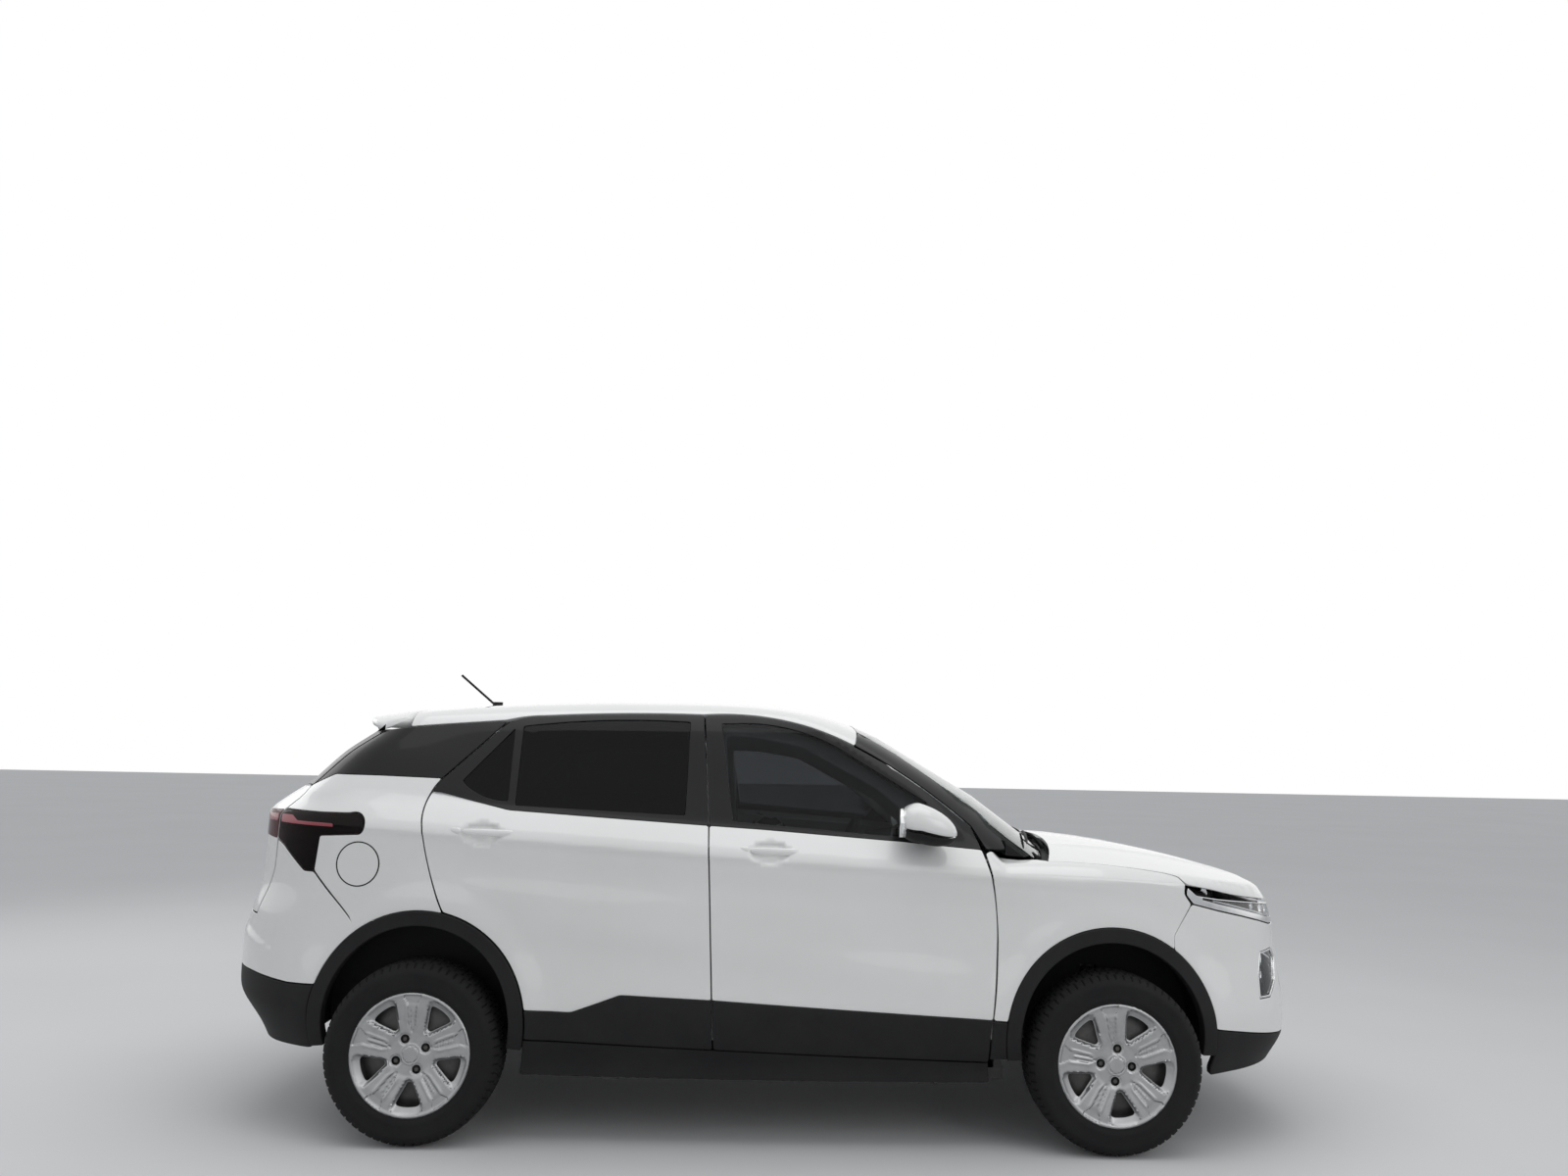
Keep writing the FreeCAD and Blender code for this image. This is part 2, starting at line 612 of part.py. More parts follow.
# Front bumper, lamps and grille
nose_zone = side_prism([(1560, 900), (1500, 770), (1500, 440), (2200, 352)] + lamp_line[::-1][:-1] + [(1545, 926)],
                       y1=1000)
bumper = between("skin", "bumper_back", "front", nose_zone)
bumper = bumper.cut(hood_hole).cut(arch_hole).cut(mirrored(arch_hole))


def grille_outline(shrink):
    return [
        (-430 + shrink, 655 - shrink), (-480 + shrink, 560), (-420 + shrink, 420 + shrink),
        (420 - shrink, 420 + shrink), (480 - shrink, 560), (430 - shrink, 655 - shrink),
    ]


def fog_outline(shrink):
    return [
        (1872 + shrink, 700 - shrink), (1896 + shrink, 512 + shrink * 2), (1990 - shrink, 600),
        (1972 - shrink, 700 - shrink),
    ]


fog_zone = side_prism(fog_outline(0), y1=-500)
bumper = bumper.cut(front_prism(grille_outline(0), 1700, 2300))
bumper = bumper.cut(fog_zone).cut(mirrored(fog_zone))
add("front_bumper", largest(bumper))

lamp_zone = side_prism([(1540, 933)] + [(x, z + s.fit) for x, z in lamp_line[1:]] + [(2200, 1050), (1540, 1050)],
                       y1=-265)
lamp = between("glass_face", "bumper_back", "front", lamp_zone).cut(hood_hole)
both("headlamps", largest(lamp))
fog = between("glass_face", "bumper_back", "front", side_prism(fog_outline(s.fit), y1=-500))
both("lower_lamps", largest(fog))

frame = front_prism(grille_outline(s.fit), 1700, 2300).cut(front_prism(grille_outline(16), 1700, 2300))
for step in range(5):
    frame = frame.fuse(box(1700, 2300, -478, 478, 445 + step * 42, 458 + step * 42))
frame = frame.common(front_prism(grille_outline(s.fit), 1700, 2300))
grille = largest(between("glass_face", "bumper_back", "front", frame))
upper_grille = between("glass_face", "bumper_back", "front", box(1900, 2200, -264.5, 264.5, 770, 812))
upper_grille = largest(upper_grille.cut(hood_hole).cut(nose_zone))
add("grille", grille, upper_grille)

# Rear bumper and lamps
tail_zone = side_prism([
    (-1708, 951), (-1558, 787), (-1470, 700), (-1676, 549), (-1780, 549), (-2200, 600), (-2200, 951)], y1=1000)
rear_bumper = between("skin", "bumper_back", "rear", tail_zone)
rear_bumper = rear_bumper.cut(arch_hole).cut(mirrored(arch_hole)).cut(lid_hole)
add("rear_bumper", largest(rear_bumper))


def tail_outline(shrink):
    return [
        (-2060, 1169 - shrink), (-1584, 1163 - shrink), (-1523 - shrink, 1125, -1538, 1091 + shrink),
        (-1690 - shrink, 1080 + shrink), (-1705 - shrink, 953 + shrink), (-1745 + shrink, 953 + shrink),
        (-1852 - shrink, 1040 + shrink), (-2060, 1058 + shrink),
    ]


tail_lamp = between("glass_face", "bumper_back", "rear", side_prism(tail_outline(0), y1=-300))
both("tail_lamps", largest(tail_lamp.cut(lid_hole)))

# Tailgate with its spoiler, lamps and glass
lid_cut = front_prism(lid_outline(0), s.rear_end - 100, s.lid_seam)
lid = largest(between("skin", "bumper_back", "rear", lid_cut))
spoiler = roof_cap(0).common(side_prism([
    (s.lid_seam, 1600), (s.lid_seam, 1512), (s.lid_seam - 110, 1484), (s.lid_seam - 205, 1522),
    (s.lid_seam - 216, 1600)], y0=-545, y1=545))


def lid_glass_outline(shrink):
    return [
        (-500 + shrink, 1478 - shrink), (-566 + shrink, 1262 + shrink), (566 - shrink, 1262 + shrink),
        (500 - shrink, 1478 - shrink),
    ]


def lid_lamp_outline(shrink):
    return [
        (-641 + shrink, 1168 - shrink), (-641 + shrink, 1058 + shrink), (-420 - shrink, 1075 + shrink),
        (-420 - shrink, 1160 - shrink),
    ]


lid = lid.fuse(spoiler.cut(body("bumper_back", "rear"))).cut(front_prism(lid_glass_outline(0), s.rear_end - 100, s.lid_seam))
lid_lamp_cut = front_prism(lid_lamp_outline(0), s.rear_end - 100, s.lid_seam)
lid = lid.cut(lid_lamp_cut).cut(mirrored(lid_lamp_cut))
lid_glass = largest(between("glass_face", "glass_back", "rear",
                            front_prism(lid_glass_outline(s.fit), s.rear_end - 100, s.lid_seam)))
lid_lamp = largest(between("glass_face", "bumper_back", "rear",
                           front_prism(lid_lamp_outline(s.fit), s.rear_end - 100, s.lid_seam)))


def lid_hinge(x, z, y, arm):
    """Knuckle on a lid and the pin bracket that carries it; the arm runs from the knuckle to its lid."""
    knuckle = rod((x, y - 14, z), (x, y + 14, z), 12).fuse(arm)
    bore = rod((x, y - 40, z), (x, y + 40, z), 6 + s.bearing_fit)
    return knuckle, bore


lid_x = s.lid_seam - s.lid_hinge_back
lid_z = s.lid_hinge_height
lid_pins = []
for sign in (-1, 1):
    y = sign * s.lid_hinge_y
    slot = box(lid_x - 24, s.lid_seam + 1, y - 30, y + 30, lid_z - 90, lid_z + 6)
    slot = slot.fuse(rod((lid_x, y - 30, lid_z), (lid_x, y + 30, lid_z), 17))
    lid = lid.cut(slot.cut(box(lid_x - 100, lid_x + 100, y - 40, y + 40, lid_z + 13, lid_z + 60)))
    arm = box(lid_x - 40, lid_x, y - 14, y + 14, lid_z - 8, lid_z + 12).common(roof_cap(2))
    knuckle, bore = lid_hinge(lid_x, lid_z, y, arm)
    lid = lid.fuse(knuckle).cut(bore)
    pin = rod((lid_x, y - 26, lid_z), (lid_x, y + 26, lid_z), 6)
    for edge in (y - 26, y + 17):
        plate = box(lid_x - 14, lid_x + 76, edge, edge + 9, lid_z - 92, lid_z - 74)
        plate = plate.fuse(box(lid_x - 14, lid_x + 2, edge, edge + 9, lid_z - 92, lid_z + 6))
        pin = pin.fuse(plate)
    tie = box(lid_x + 66, lid_x + 130, y - 26, y + 26, lid_z - 92, lid_z - 74)
    post = box(lid_x + 80, lid_x + 130, y - 26, y + 26, lid_z - 92, lid_z + 40)
    lid_pins.append(pin.fuse(tie).fuse(post.common(body("jamb_face", "rear"))))
add("tailgate", largest(lid))
add("tailgate_glass", lid_glass)
both("tailgate_lamps", lid_lamp)
add("tailgate_hinges", *lid_pins)

# Hood hinges
hood_pins = []
hood_x = s.hood_hinge_x
hood_z = s.hood_hinge_height
for sign in (-1, 1):
    y = sign * s.hood_hinge_y
    arm = box(hood_x, hood_x + 60, y - 10, y + 10, hood_z - 8, hood_z + 60).common(body("thin", "front"))
    arm = arm.common(plan_prism(hood_outline(0), 780, 1400))
    knuckle = rod((hood_x, y - 10, hood_z), (hood_x, y + 10, hood_z), 11)
    link = box(hood_x, hood_x + 60, y - 10, y + 10, hood_z - 10, hood_z + 10)
    hood = hood.fuse(knuckle.fuse(link).fuse(arm))
    hood = hood.cut(rod((hood_x, y - 40, hood_z), (hood_x, y + 40, hood_z), 6 + s.bearing_fit))
    pin = rod((hood_x, y - 22, hood_z), (hood_x, y + 22, hood_z), 6)
    for edge in (y - 22, y + 13):
        pin = pin.fuse(box(hood_x - 10, hood_x + 10, edge, edge + 9, hood_z - 70, hood_z + 8))
    pin = pin.fuse(box(hood_x - 10, hood_x + 10, y - 22, y + 22, hood_z - 70, hood_z - 56))
    hood_pins.append(pin)
add("hood", largest(hood))

# Windscreen, cowl and wipers


screen_region = front_prism([
    (-730, 1013), (-560, 1560), (560, 1560), (730, 1013), (0, 1062, -729, 1013)], 150, 1250)
front_pane = cabin_solid(LAYERS["glass_face"][1], LAYERS["glass_face"][2], ZONES["screen"])
behind_pane = cabin_solid(LAYERS["glass_back"][1], LAYERS["glass_back"][2], ZONES["screen"])
screen = front_pane.common(screen_region).cut(behind_pane).cut(roof_region)
pillar_hole = side_prism([
    (320, 1430), (320, 1504 + s.fit), (328 + s.fit, 1504 + s.fit), (485 + s.fit, 1419 + s.fit),
    (790 + s.fit, 1206 + s.fit), (850 + s.fit, 1135 + s.fit), (850 + s.fit, 1000), (700, 1000)])
pillar_hole = pillar_hole.fuse(box(850, 1250, -1000, -699, 900, 1130)).fuse(box(1000, 1250, -1000, -600, 900, 1054))
add("windscreen", largest(screen.cut(pillar_hole).cut(mirrored(pillar_hole))))

# Cladding: arches, sills and valances
rings = []
for axle, height in ((s.front_axle, s.front_arch_height), (s.rear_axle, s.rear_arch_height)):
    tube = rod((axle, -1000, height), (axle, -700, height), s.arch_outer)
    tube = tube.cut(rod((axle, -1001, height), (axle, -699, height), s.arch_inner))
    tube = tube.cut(box(axle - 500, axle + 500, -1001, -699, 0, sill - 20))
    if axle == s.front_axle:
        swept = math.hypot(s.tyre_radius, s.wheel_outer - s.steer_offset) + s.steer_clear
        tube = tube.cut(rod((axle, -s.steer_offset, 0), (axle, -s.steer_offset, height + 50), swept))
    rings.append(largest(between("proud", "thin", "right", tube)))
front_low = side_prism([
    (1560, 250), (1560, 432.5 - s.fit), (2200, 352 - s.fit), (2200, 250)], y1=1000)
rear_low = side_prism([
    (-1560, 300), (-1560, 546), (-1780, 546), (-2200, 597), (-2200, 300)], y1=1000)
sill_low = side_prism([
    (seam - 24, 300 - s.fit), (seam - 24, 240), (rear + 385, 240), (rear + 385, 300 - s.fit)], y1=-500)
wheels_free = []
for axle, height in ((s.front_axle, s.front_arch_height), (s.rear_axle, s.rear_arch_height)):
    wheels_free.append(rod((axle, -1000, height), (axle, 1000, height), s.arch_outer + s.fit))
valances = []
for zone, region, hole in (("front", front_low, wheels_free[0]), ("rear", rear_low, wheels_free[1])):
    valances.append(largest(between("skin", "bumper_back", zone, region).cut(hole)))
sill_trim = largest(between("skin", "thin", "right", sill_low))
both("arch_cladding", rings[0].fuse(rings[1]))
both("sill_cladding", sill_trim)
add("front_valance", valances[0])
add("rear_valance", valances[1])

# Wheel arch liners
for axle, height, inner_y in ((s.front_axle, s.front_arch_height, 452), (s.rear_axle, s.rear_arch_height, 548)):
    outer = s.arch_outer
    liner = rod((axle, -1000, height), (axle, -inner_y, height), outer)
    liner = liner.cut(rod((axle, -1000, height), (axle, -inner_y - s.liner_wall, height), outer - s.liner_wall))
    liner = liner.cut(box(axle - 500, axle + 500, -1100, -300, 0, height - 45))
    liner = liner.cut(box(axle - 32, axle + 32, -640, -300, 540, 610))
    liner = liner.cut(rod((axle, -1000, s.axle_height), (axle, -300, s.axle_height), 165))
    liners.append(largest(liner.common(body("liner_face", "right"))))
both("wheel_liners", liners[0].fuse(liners[1]))

# Floor, bulkhead and rails
inside = body("inside", "middle")
low = s.floor_height
high = low + s.floor_wall
rear_low_z = s.luggage_floor
rear_high_z = rear_low_z + s.floor_wall
wall = s.firewall
pan = inside.common(box(-860, wall, -900, 900, low, high))
pan = pan.fuse(inside.common(box(wall, wall + 36, -900, 900, low, 1000)))
pan = pan.fuse(inside.common(box(-896, -860, -900, 900, low, rear_high_z)))
pan = pan.fuse(box(-1950, -896, -547, 547, rear_low_z, rear_high_z))
for sign in (-1, 1):
    y0 = sign * 395 - 35
    pan = pan.fuse(box(wall + 30, 1965, y0, y0 + 70, 330, 430))
    pan = pan.fuse(box(-1945, -890, y0, y0 + 70, 400, rear_low_z + 5))
pan = pan.fuse(box(1930, 1970, -430, 430, 340, 420))
pan = pan.fuse(box(wall + 30, 1100, -430, 430, 940, 975)).fuse(box(1890, 1960, -430, 430, 330, 700))
pads = []
for x in (-620, 560):
    for sign in (-1, 1):
        y0 = sign * 640 - s.pad_size / 2
        pads.append(box(x, x + s.pad_size, y0, y0 + s.pad_size, s.pad_height, low + 5))
pan = pan.fuse(pads)
pan = pan.cut(arch_hole).cut(mirrored(arch_hole))
pan = largest(pan)
add("floor_pan", pan)

cowl = body("bumper_back", "front").common(
    plan_prism([(886, -700), (1060, -700), (1140, 0, 1060, 700), (886, 700)], 985, 1100))
cowl = cowl.cut(pan)
for pin in hood_pins:
    cowl = cowl.fuse(pin)
add("cowl", largest(cowl))

# Engine, tank and exhaust
add("engine_block", box(1150, 1780, -355, 355, 250, 880))
add("fuel_tank", box(-850, -560, -330, 330, high, high + 165))
exhaust = rod((1090, 200, 184), (-915, 200, 184), 25).fuse(rod((-915, 200, 184), (-1700, 200, 370), 25))
exhaust = exhaust.fuse(Part.makeSphere(25, V(-915, 200, 184))).fuse(box(-1900, -1660, 60, 340, 310, rear_low_z - 40))
for x in (-700, 500):
    exhaust = exhaust.fuse(box(x, x + 30, 190, 210, 190, low))
exhaust = exhaust.fuse(box(-1880, -1850, 160, 190, rear_low_z - 45, rear_low_z))
add("exhaust", exhaust)

# Wheels


def ring_of(profile):
    """Solid of points (radius, y) turned about the wheel's axis; y runs out from the wheel's inner side."""
    face = face_of(profile, lambda radius, y: V(radius, y, 0))
    return face.revolve(V(0, 0, 0), V(0, 1, 0), 360)


def tyre():
    wide = s.tyre_width
    outer = s.tyre_radius
    bead = s.rim_radius - 14
    return ring_of([
        (bead + s.fit, 18 + s.fit), (s.rim_radius + s.fit, 18 + s.fit), (s.rim_radius + 12, 5), (outer - 52, 0), (outer - 14, 12, outer - 4, 26),
        (outer, wide / 2, outer - 4, wide - 26), (outer - 14, wide - 12, outer - 52, wide),
        (s.rim_radius + 12, wide - 5), (s.rim_radius + s.fit, wide - 18 - s.fit),
        (bead + s.fit, wide - 18 - s.fit),
    ])


def rim():
    wide = s.tyre_width
    lip = s.rim_radius
    bead = s.rim_radius - 14
    inner = bead - s.barrel_wall
    barrel = ring_of([
        (bead, 18), (lip, 17), (lip, 9), (inner, 9), (inner, wide - 9), (lip, wide - 9), (lip, wide - 17),
        (bead, wide - 18)])
    face_y = wide - 9 - s.face_depth
    disc = ring_of([
        (0.001, face_y - 20), (s.hub_radius + 20, face_y - 20), (inner + 1, face_y + 4),
        (inner + 1, face_y + s.face_depth - 2), (inner - 24, face_y + s.face_depth - 6),
        (s.hub_radius + 12, face_y - 2), (s.hub_radius, face_y - 8), (0.001, face_y - 8)])
    wheel = barrel.fuse(disc)
    count = int(round(s.window_count))
    for turn in range(count):
        angle = s.window_turn + 360.0 * turn / count
        window = face_of([
            (84, 14), (150, 62), (176, 52), (182, 0, 176, -52), (150, -62), (84, -14), (80, 0, 84, 14)][:-1]
            + [(80, 0, 84, 13.9)], lambda x, z: V(x, 0, z)).extrude(V(0, wide, 0))
        window.rotate(V(0, 0, 0), V(0, 1, 0), -angle)
        wheel = wheel.cut(window)
        for offset in (-12, 12):
            ridge = face_of([
                (66, offset - 8), (168, offset * 2.6 - 14), (168, offset * 2.6 + 14), (66, offset + 8)],
                lambda x, z: V(x, 0, z)).extrude(V(0, wide, 0))
            band = ring_of([
                (64, face_y - 4), (inner - 24, face_y + s.face_depth - 10),
                (inner - 24, face_y + s.face_depth - 6 + s.spoke_rise * 0.5), (64, face_y - 8 + s.spoke_rise)])
            ridge = ridge.common(band)
            ridge.rotate(V(0, 0, 0), V(0, 1, 0), -(angle + 180.0 / count))
            wheel = wheel.fuse(ridge)
    hub = ring_of([(0.001, 70), (45, 70), (52, face_y - 10), (0.001, face_y - 10)])
    wheel = wheel.fuse(hub)
    for turn in range(4):
        angle = math.radians(45 + 90 * turn)
        x = s.lug_circle * math.cos(angle)
        z = s.lug_circle * math.sin(angle)
        wheel = wheel.cut(rod((x, face_y - 14, z), (x, wide, z), s.lug_radius))
    bore = s.spindle_radius + s.bearing_fit
    return wheel.cut(rod((0, 0, 0), (0, face_y - 18, 0), bore))


# A wheel is drawn with its inner side at y = 0 and its outer side at +y, then set on its axle
tyre_shape = tyre()
rim_shape = rim()
shapes = {1: (tyre_shape, rim_shape), -1: (mirrored(tyre_shape), mirrored(rim_shape))}
for axle_name, axle in (("front", s.front_axle), ("rear", s.rear_axle)):
    for side_name, sign in (("right", -1), ("left", 1)):
        place = V(axle, sign * (s.wheel_outer - s.tyre_width), s.axle_height)
        add("tyre_%s_%s" % (axle_name, side_name), shapes[sign][0], place=place)
        add("rim_%s_%s" % (axle_name, side_name), shapes[sign][1], place=place)

# Front knuckles, arms and struts
wheel_in = s.wheel_outer - s.tyre_width
spindle_end = s.wheel_outer - 9 - s.face_depth - 20
axle_z = s.axle_height
steer_y = s.steer_offset
pin_z = s.steer_half
knuckle = box(s.front_axle - 24, s.front_axle + 24, -steer_y - 24, -steer_y + 24, axle_z - pin_z + 22,
              axle_z + pin_z - 22)
knuckle = knuckle.fuse(rod((s.front_axle, -steer_y, axle_z), (s.front_axle, -spindle_end, axle_z),
                           s.spindle_radius))
knuckle = knuckle.fuse(rod((s.front_axle, -steer_y - 20, axle_z), (s.front_axle, -steer_y - 26, axle_z), 34))
knuckle = knuckle.fuse(box(s.front_axle - 120, s.front_axle, -steer_y - 10, -steer_y + 16, axle_z - 14, axle_z + 14))
for sign in (-1, 1):
    knuckle = knuckle.cut(rod((s.front_axle, -steer_y, axle_z + sign * (pin_z - 62)),
                              (s.front_axle, -steer_y, axle_z + sign * pin_z), s.steer_pin + s.bearing_fit))
add("knuckle_right", knuckle)
add("knuckle_left", mirrored(knuckle))

arm = box(s.front_axle - 26, s.front_axle + 26, -steer_y - 20, -320, axle_z - pin_z - 12, axle_z - pin_z + 14)
arm = arm.fuse(rod((s.front_axle, -steer_y, axle_z - pin_z), (s.front_axle, -steer_y, axle_z - pin_z + 60),
                   s.steer_pin))
strut = box(s.front_axle - 26, s.front_axle + 26, -steer_y - 20, -585, axle_z + pin_z - 14, axle_z + pin_z + 12)
strut = strut.fuse(rod((s.front_axle, -steer_y, axle_z + pin_z - 60), (s.front_axle, -steer_y, axle_z + pin_z),
                       s.steer_pin))
strut = strut.fuse(rod((s.front_axle, -603, axle_z + pin_z - 14), (s.front_axle, -603, axle_z + pin_z + 160), 26))
link = box(s.front_axle - 20, s.front_axle + 20, -600, -425, 560, 590)
subframe = box(s.front_axle - 150, s.front_axle + 150, -330, 330, 190, 250)
front_suspension = subframe.fuse([arm, mirrored(arm)])
tower = box(s.front_axle - 30, s.front_axle + 30, -451, -365, 200, 330)
upper = strut.fuse(link).fuse(box(s.front_axle - 20, s.front_axle + 20, -431, -395, 430, 590))
add("front_suspension", front_suspension.fuse([tower, mirrored(tower)]))
both("front_struts", upper)

rear_y = s.wheel_outer - s.tyre_width - 30
rear_suspension = rod((s.rear_axle + 260, -560, 330), (s.rear_axle + 260, 560, 330), 38)
for sign in (-1, 1):
    trailing = box(s.rear_axle - 40, -896 - s.fit, sign * 560 - 28, sign * 560 + 28, 296, 356)
    stub = rod((s.rear_axle, sign * 540, axle_z), (s.rear_axle, sign * spindle_end, axle_z), s.spindle_radius)
    flange = rod((s.rear_axle, sign * 580, axle_z), (s.rear_axle, sign * (wheel_in - 8), axle_z), 44)
    spring = rod((s.rear_axle + 120, sign * 480, 340), (s.rear_axle + 120, sign * 480, rear_low_z), 48)
    seat_plate = box(s.rear_axle + 70, s.rear_axle + 300, sign * 500 - 70, sign * 500 + 70, 300, 345)
    rear_suspension = rear_suspension.fuse([trailing, stub, flange, spring, seat_plate])
add("rear_suspension", rear_suspension)

# Cabin
dash = side_prism([
    (wall, 620), (wall, 990), (wall - 60, 1085), (470, 1040), (430, 930), (520, 760), (600, 640)],
    y0=-640, y1=640).common(inside)
dash = dash.fuse(box(-250, 520, -110, 110, high, 560)).cut(pan)
dash = largest(dash)
column_y = s.seat_spread
column_x = 330
column_z = 945
tilt = 24


def tilted(shape):
    shape.rotate(V(column_x, column_y, column_z), V(0, 1, 0), tilt)
    return shape


ring_wheel = Part.makeTorus(s.wheel_ring, 14, V(column_x, column_y, column_z), V(1, 0, 0))
spokes = box(column_x - 8, column_x + 8, column_y - s.wheel_ring, column_y + s.wheel_ring, column_z - 16, column_z + 16)
spokes = spokes.fuse(box(column_x - 8, column_x + 8, column_y - 16, column_y + 16, column_z - s.wheel_ring, column_z))
boss = rod((column_x - 22, column_y, column_z), (column_x + 40, column_y, column_z), 60)
steering_wheel = ring_wheel.fuse([spokes, boss])
column = rod((column_x + 41, column_y, column_z), (column_x + 260, column_y, column_z), 30)
pin = rod((column_x + 10, column_y, column_z), (column_x + 60, column_y, column_z), 10)
steering_wheel = steering_wheel.cut(rod((column_x + 9, column_y, column_z), (column_x + 60, column_y, column_z),
                                        10 + s.bearing_fit))
steering_wheel = tilted(steering_wheel)
column = tilted(column.fuse(pin))
dash = dash.fuse(column)
add("dashboard", dash)
add("steering_wheel", steering_wheel)

seat_half = s.seat_width / 2
cushion = s.seat_height
front_seat = side_prism([
    (-200, high), (-200, cushion - 130), (-260, cushion - 60), (-420, 1080), (-350, 1110), (-240, 1080),
    (-110, cushion + 10), (260, cushion + 10), (330, cushion - 30), (320, cushion - 140), (200, cushion - 150),
    (150, high)], y0=s.seat_spread - seat_half, y1=s.seat_spread + seat_half)
head = box(-385, -285, s.seat_spread - 125, s.seat_spread + 125, 1130, 1310)
stem = box(-350, -330, s.seat_spread - 60, s.seat_spread + 60, 1060, 1140)
front_seat = front_seat.fuse([head, stem])
both("front_seats", front_seat)
bench = side_prism([
    (-860, high), (-860, 430), (-890, rear_high_z), (-900, cushion + 60), (-1020, 1100), (-950, 1125),
    (-830, 1090), (-740, cushion + 60), (-420, cushion + 40), (-360, cushion - 20), (-380, cushion - 160),
    (-420, high)], y0=-600, y1=600)
for y in (-400, 0, 400):
    bench = bench.fuse(box(-1000, -920, y - 120, y + 120, 1110, 1260))
add("rear_seat", bench.cut(box(-852, -558, -332, 332, 250, high + 167)).common(inside).cut(pan))

# Mirrors and antenna
mirror = side_prism([
    (459, 1176), (505, 1235, 560, 1247), (640, 1220, 671, 1134), (600, 1104, 531, 1101), (480, 1120, 458, 1176)][:-1]
    + [(480, 1120, 459.5, 1174)], y0=-s.mirror_reach, y1=-s.mirror_reach + 175)
mirror = mirror.fuse(box(590, 640, -830, -770, 1118, 1150)).cut(body("just_out", "doors"))
mirror = largest(mirror)
add("mirror_right", mirror)
add("mirror_left", mirrored(mirror))
mast = rod((-1226, 0, 1590), (-1226 - s.antenna_length * 0.77, 0, 1590 + s.antenna_length * 0.64), s.antenna_radius)
foot = rod((-1226, 0, 1570), (-1226, 0, 1612), 22)
add("antenna", mast.fuse(foot).cut(roof_cap(-s.fit)))

doc.recompute()
for item in doc.Objects:
    if "Invalid" in item.State or "Error" in item.State:
        raise RuntimeError("%s did not recompute" % item.Label)
os.makedirs("parts", exist_ok=True)
for item in nodes:
    if item.Shape.isNull() or not item.Shape.isValid():
        raise RuntimeError("%s has no valid shape" % item.Label)
    item.Shape.exportStep("parts/%s.step" % item.Label)
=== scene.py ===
import json
import math

import bpy
import numpy as np
from mathutils import Matrix, Vector
from mathutils.geometry import delaunay_2d_cdt


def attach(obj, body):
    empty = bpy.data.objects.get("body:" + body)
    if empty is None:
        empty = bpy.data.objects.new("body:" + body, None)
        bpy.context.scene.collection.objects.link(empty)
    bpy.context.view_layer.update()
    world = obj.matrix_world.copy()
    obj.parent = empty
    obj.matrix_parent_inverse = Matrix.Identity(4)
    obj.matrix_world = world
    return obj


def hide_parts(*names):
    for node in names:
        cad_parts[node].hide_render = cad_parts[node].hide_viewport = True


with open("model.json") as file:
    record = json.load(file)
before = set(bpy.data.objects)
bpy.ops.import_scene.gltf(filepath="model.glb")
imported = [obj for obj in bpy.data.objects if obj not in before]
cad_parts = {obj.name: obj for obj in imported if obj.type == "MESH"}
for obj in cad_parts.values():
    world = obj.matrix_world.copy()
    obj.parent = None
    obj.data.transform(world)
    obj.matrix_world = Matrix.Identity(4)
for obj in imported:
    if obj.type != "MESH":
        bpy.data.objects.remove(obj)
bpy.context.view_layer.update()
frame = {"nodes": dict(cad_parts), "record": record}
nodes = frame["nodes"]

# Lengths in this script are in millimetres until a mesh is made, and the frame is the CAD model's:
# x forward, y to the left, z up.
MM = 0.001

# Main sizes, the same values as in the part's source
FRONT_END = 2110
REAR_END = -2110
HALF_WIDTH = 870
FRONT_AXLE = 1260
REAR_AXLE = -1290
FRONT_ARCH = 400
REAR_ARCH = 420
ARCH_OUTER = 400
ARCH_INNER = 345
BELT = 1128
CREASE = 1047
SEAM = 829
MID = -224
TOP = 1557
SILL = 347
GAP = 5
LID_SEAM = -1433
LID_LOW = 775
HOOD_HALF = 738
WHEEL_HEIGHT = 320

# The line that each door turns about: how far forward and how far out
HINGES = {"front": (740, 820), "rear": (-300, 838)}

# The camera: the photograph's viewing angle
IMAGE_WIDTH = 1600
FOCAL_PIXELS = 1202
SENSOR_WIDTH = 36
camera_place = Vector((-51, -5270, 1444)) * MM
yaw, pitch, roll = math.radians(-0.91), math.radians(7.64), math.radians(1.13)
ahead = Vector((-math.sin(yaw) * math.cos(pitch), math.cos(yaw) * math.cos(pitch), math.sin(pitch)))
right = Vector((math.cos(yaw), math.sin(yaw), 0))
up = right.cross(ahead)
right_rolled = right * math.cos(roll) + up * math.sin(roll)
up_rolled = up * math.cos(roll) - right * math.sin(roll)
camera_data = bpy.data.cameras.new("camera")
camera = bpy.data.objects.new("camera", camera_data)
bpy.context.scene.collection.objects.link(camera)
camera_data.sensor_width = SENSOR_WIDTH
camera_data.lens = SENSOR_WIDTH * FOCAL_PIXELS / IMAGE_WIDTH
camera.matrix_world = Matrix((
    (right_rolled.x, up_rolled.x, -ahead.x, camera_place.x),
    (right_rolled.y, up_rolled.y, -ahead.y, camera_place.y),
    (right_rolled.z, up_rolled.z, -ahead.z, camera_place.z),
    (0, 0, 0, 1)))
bpy.context.scene.camera = camera


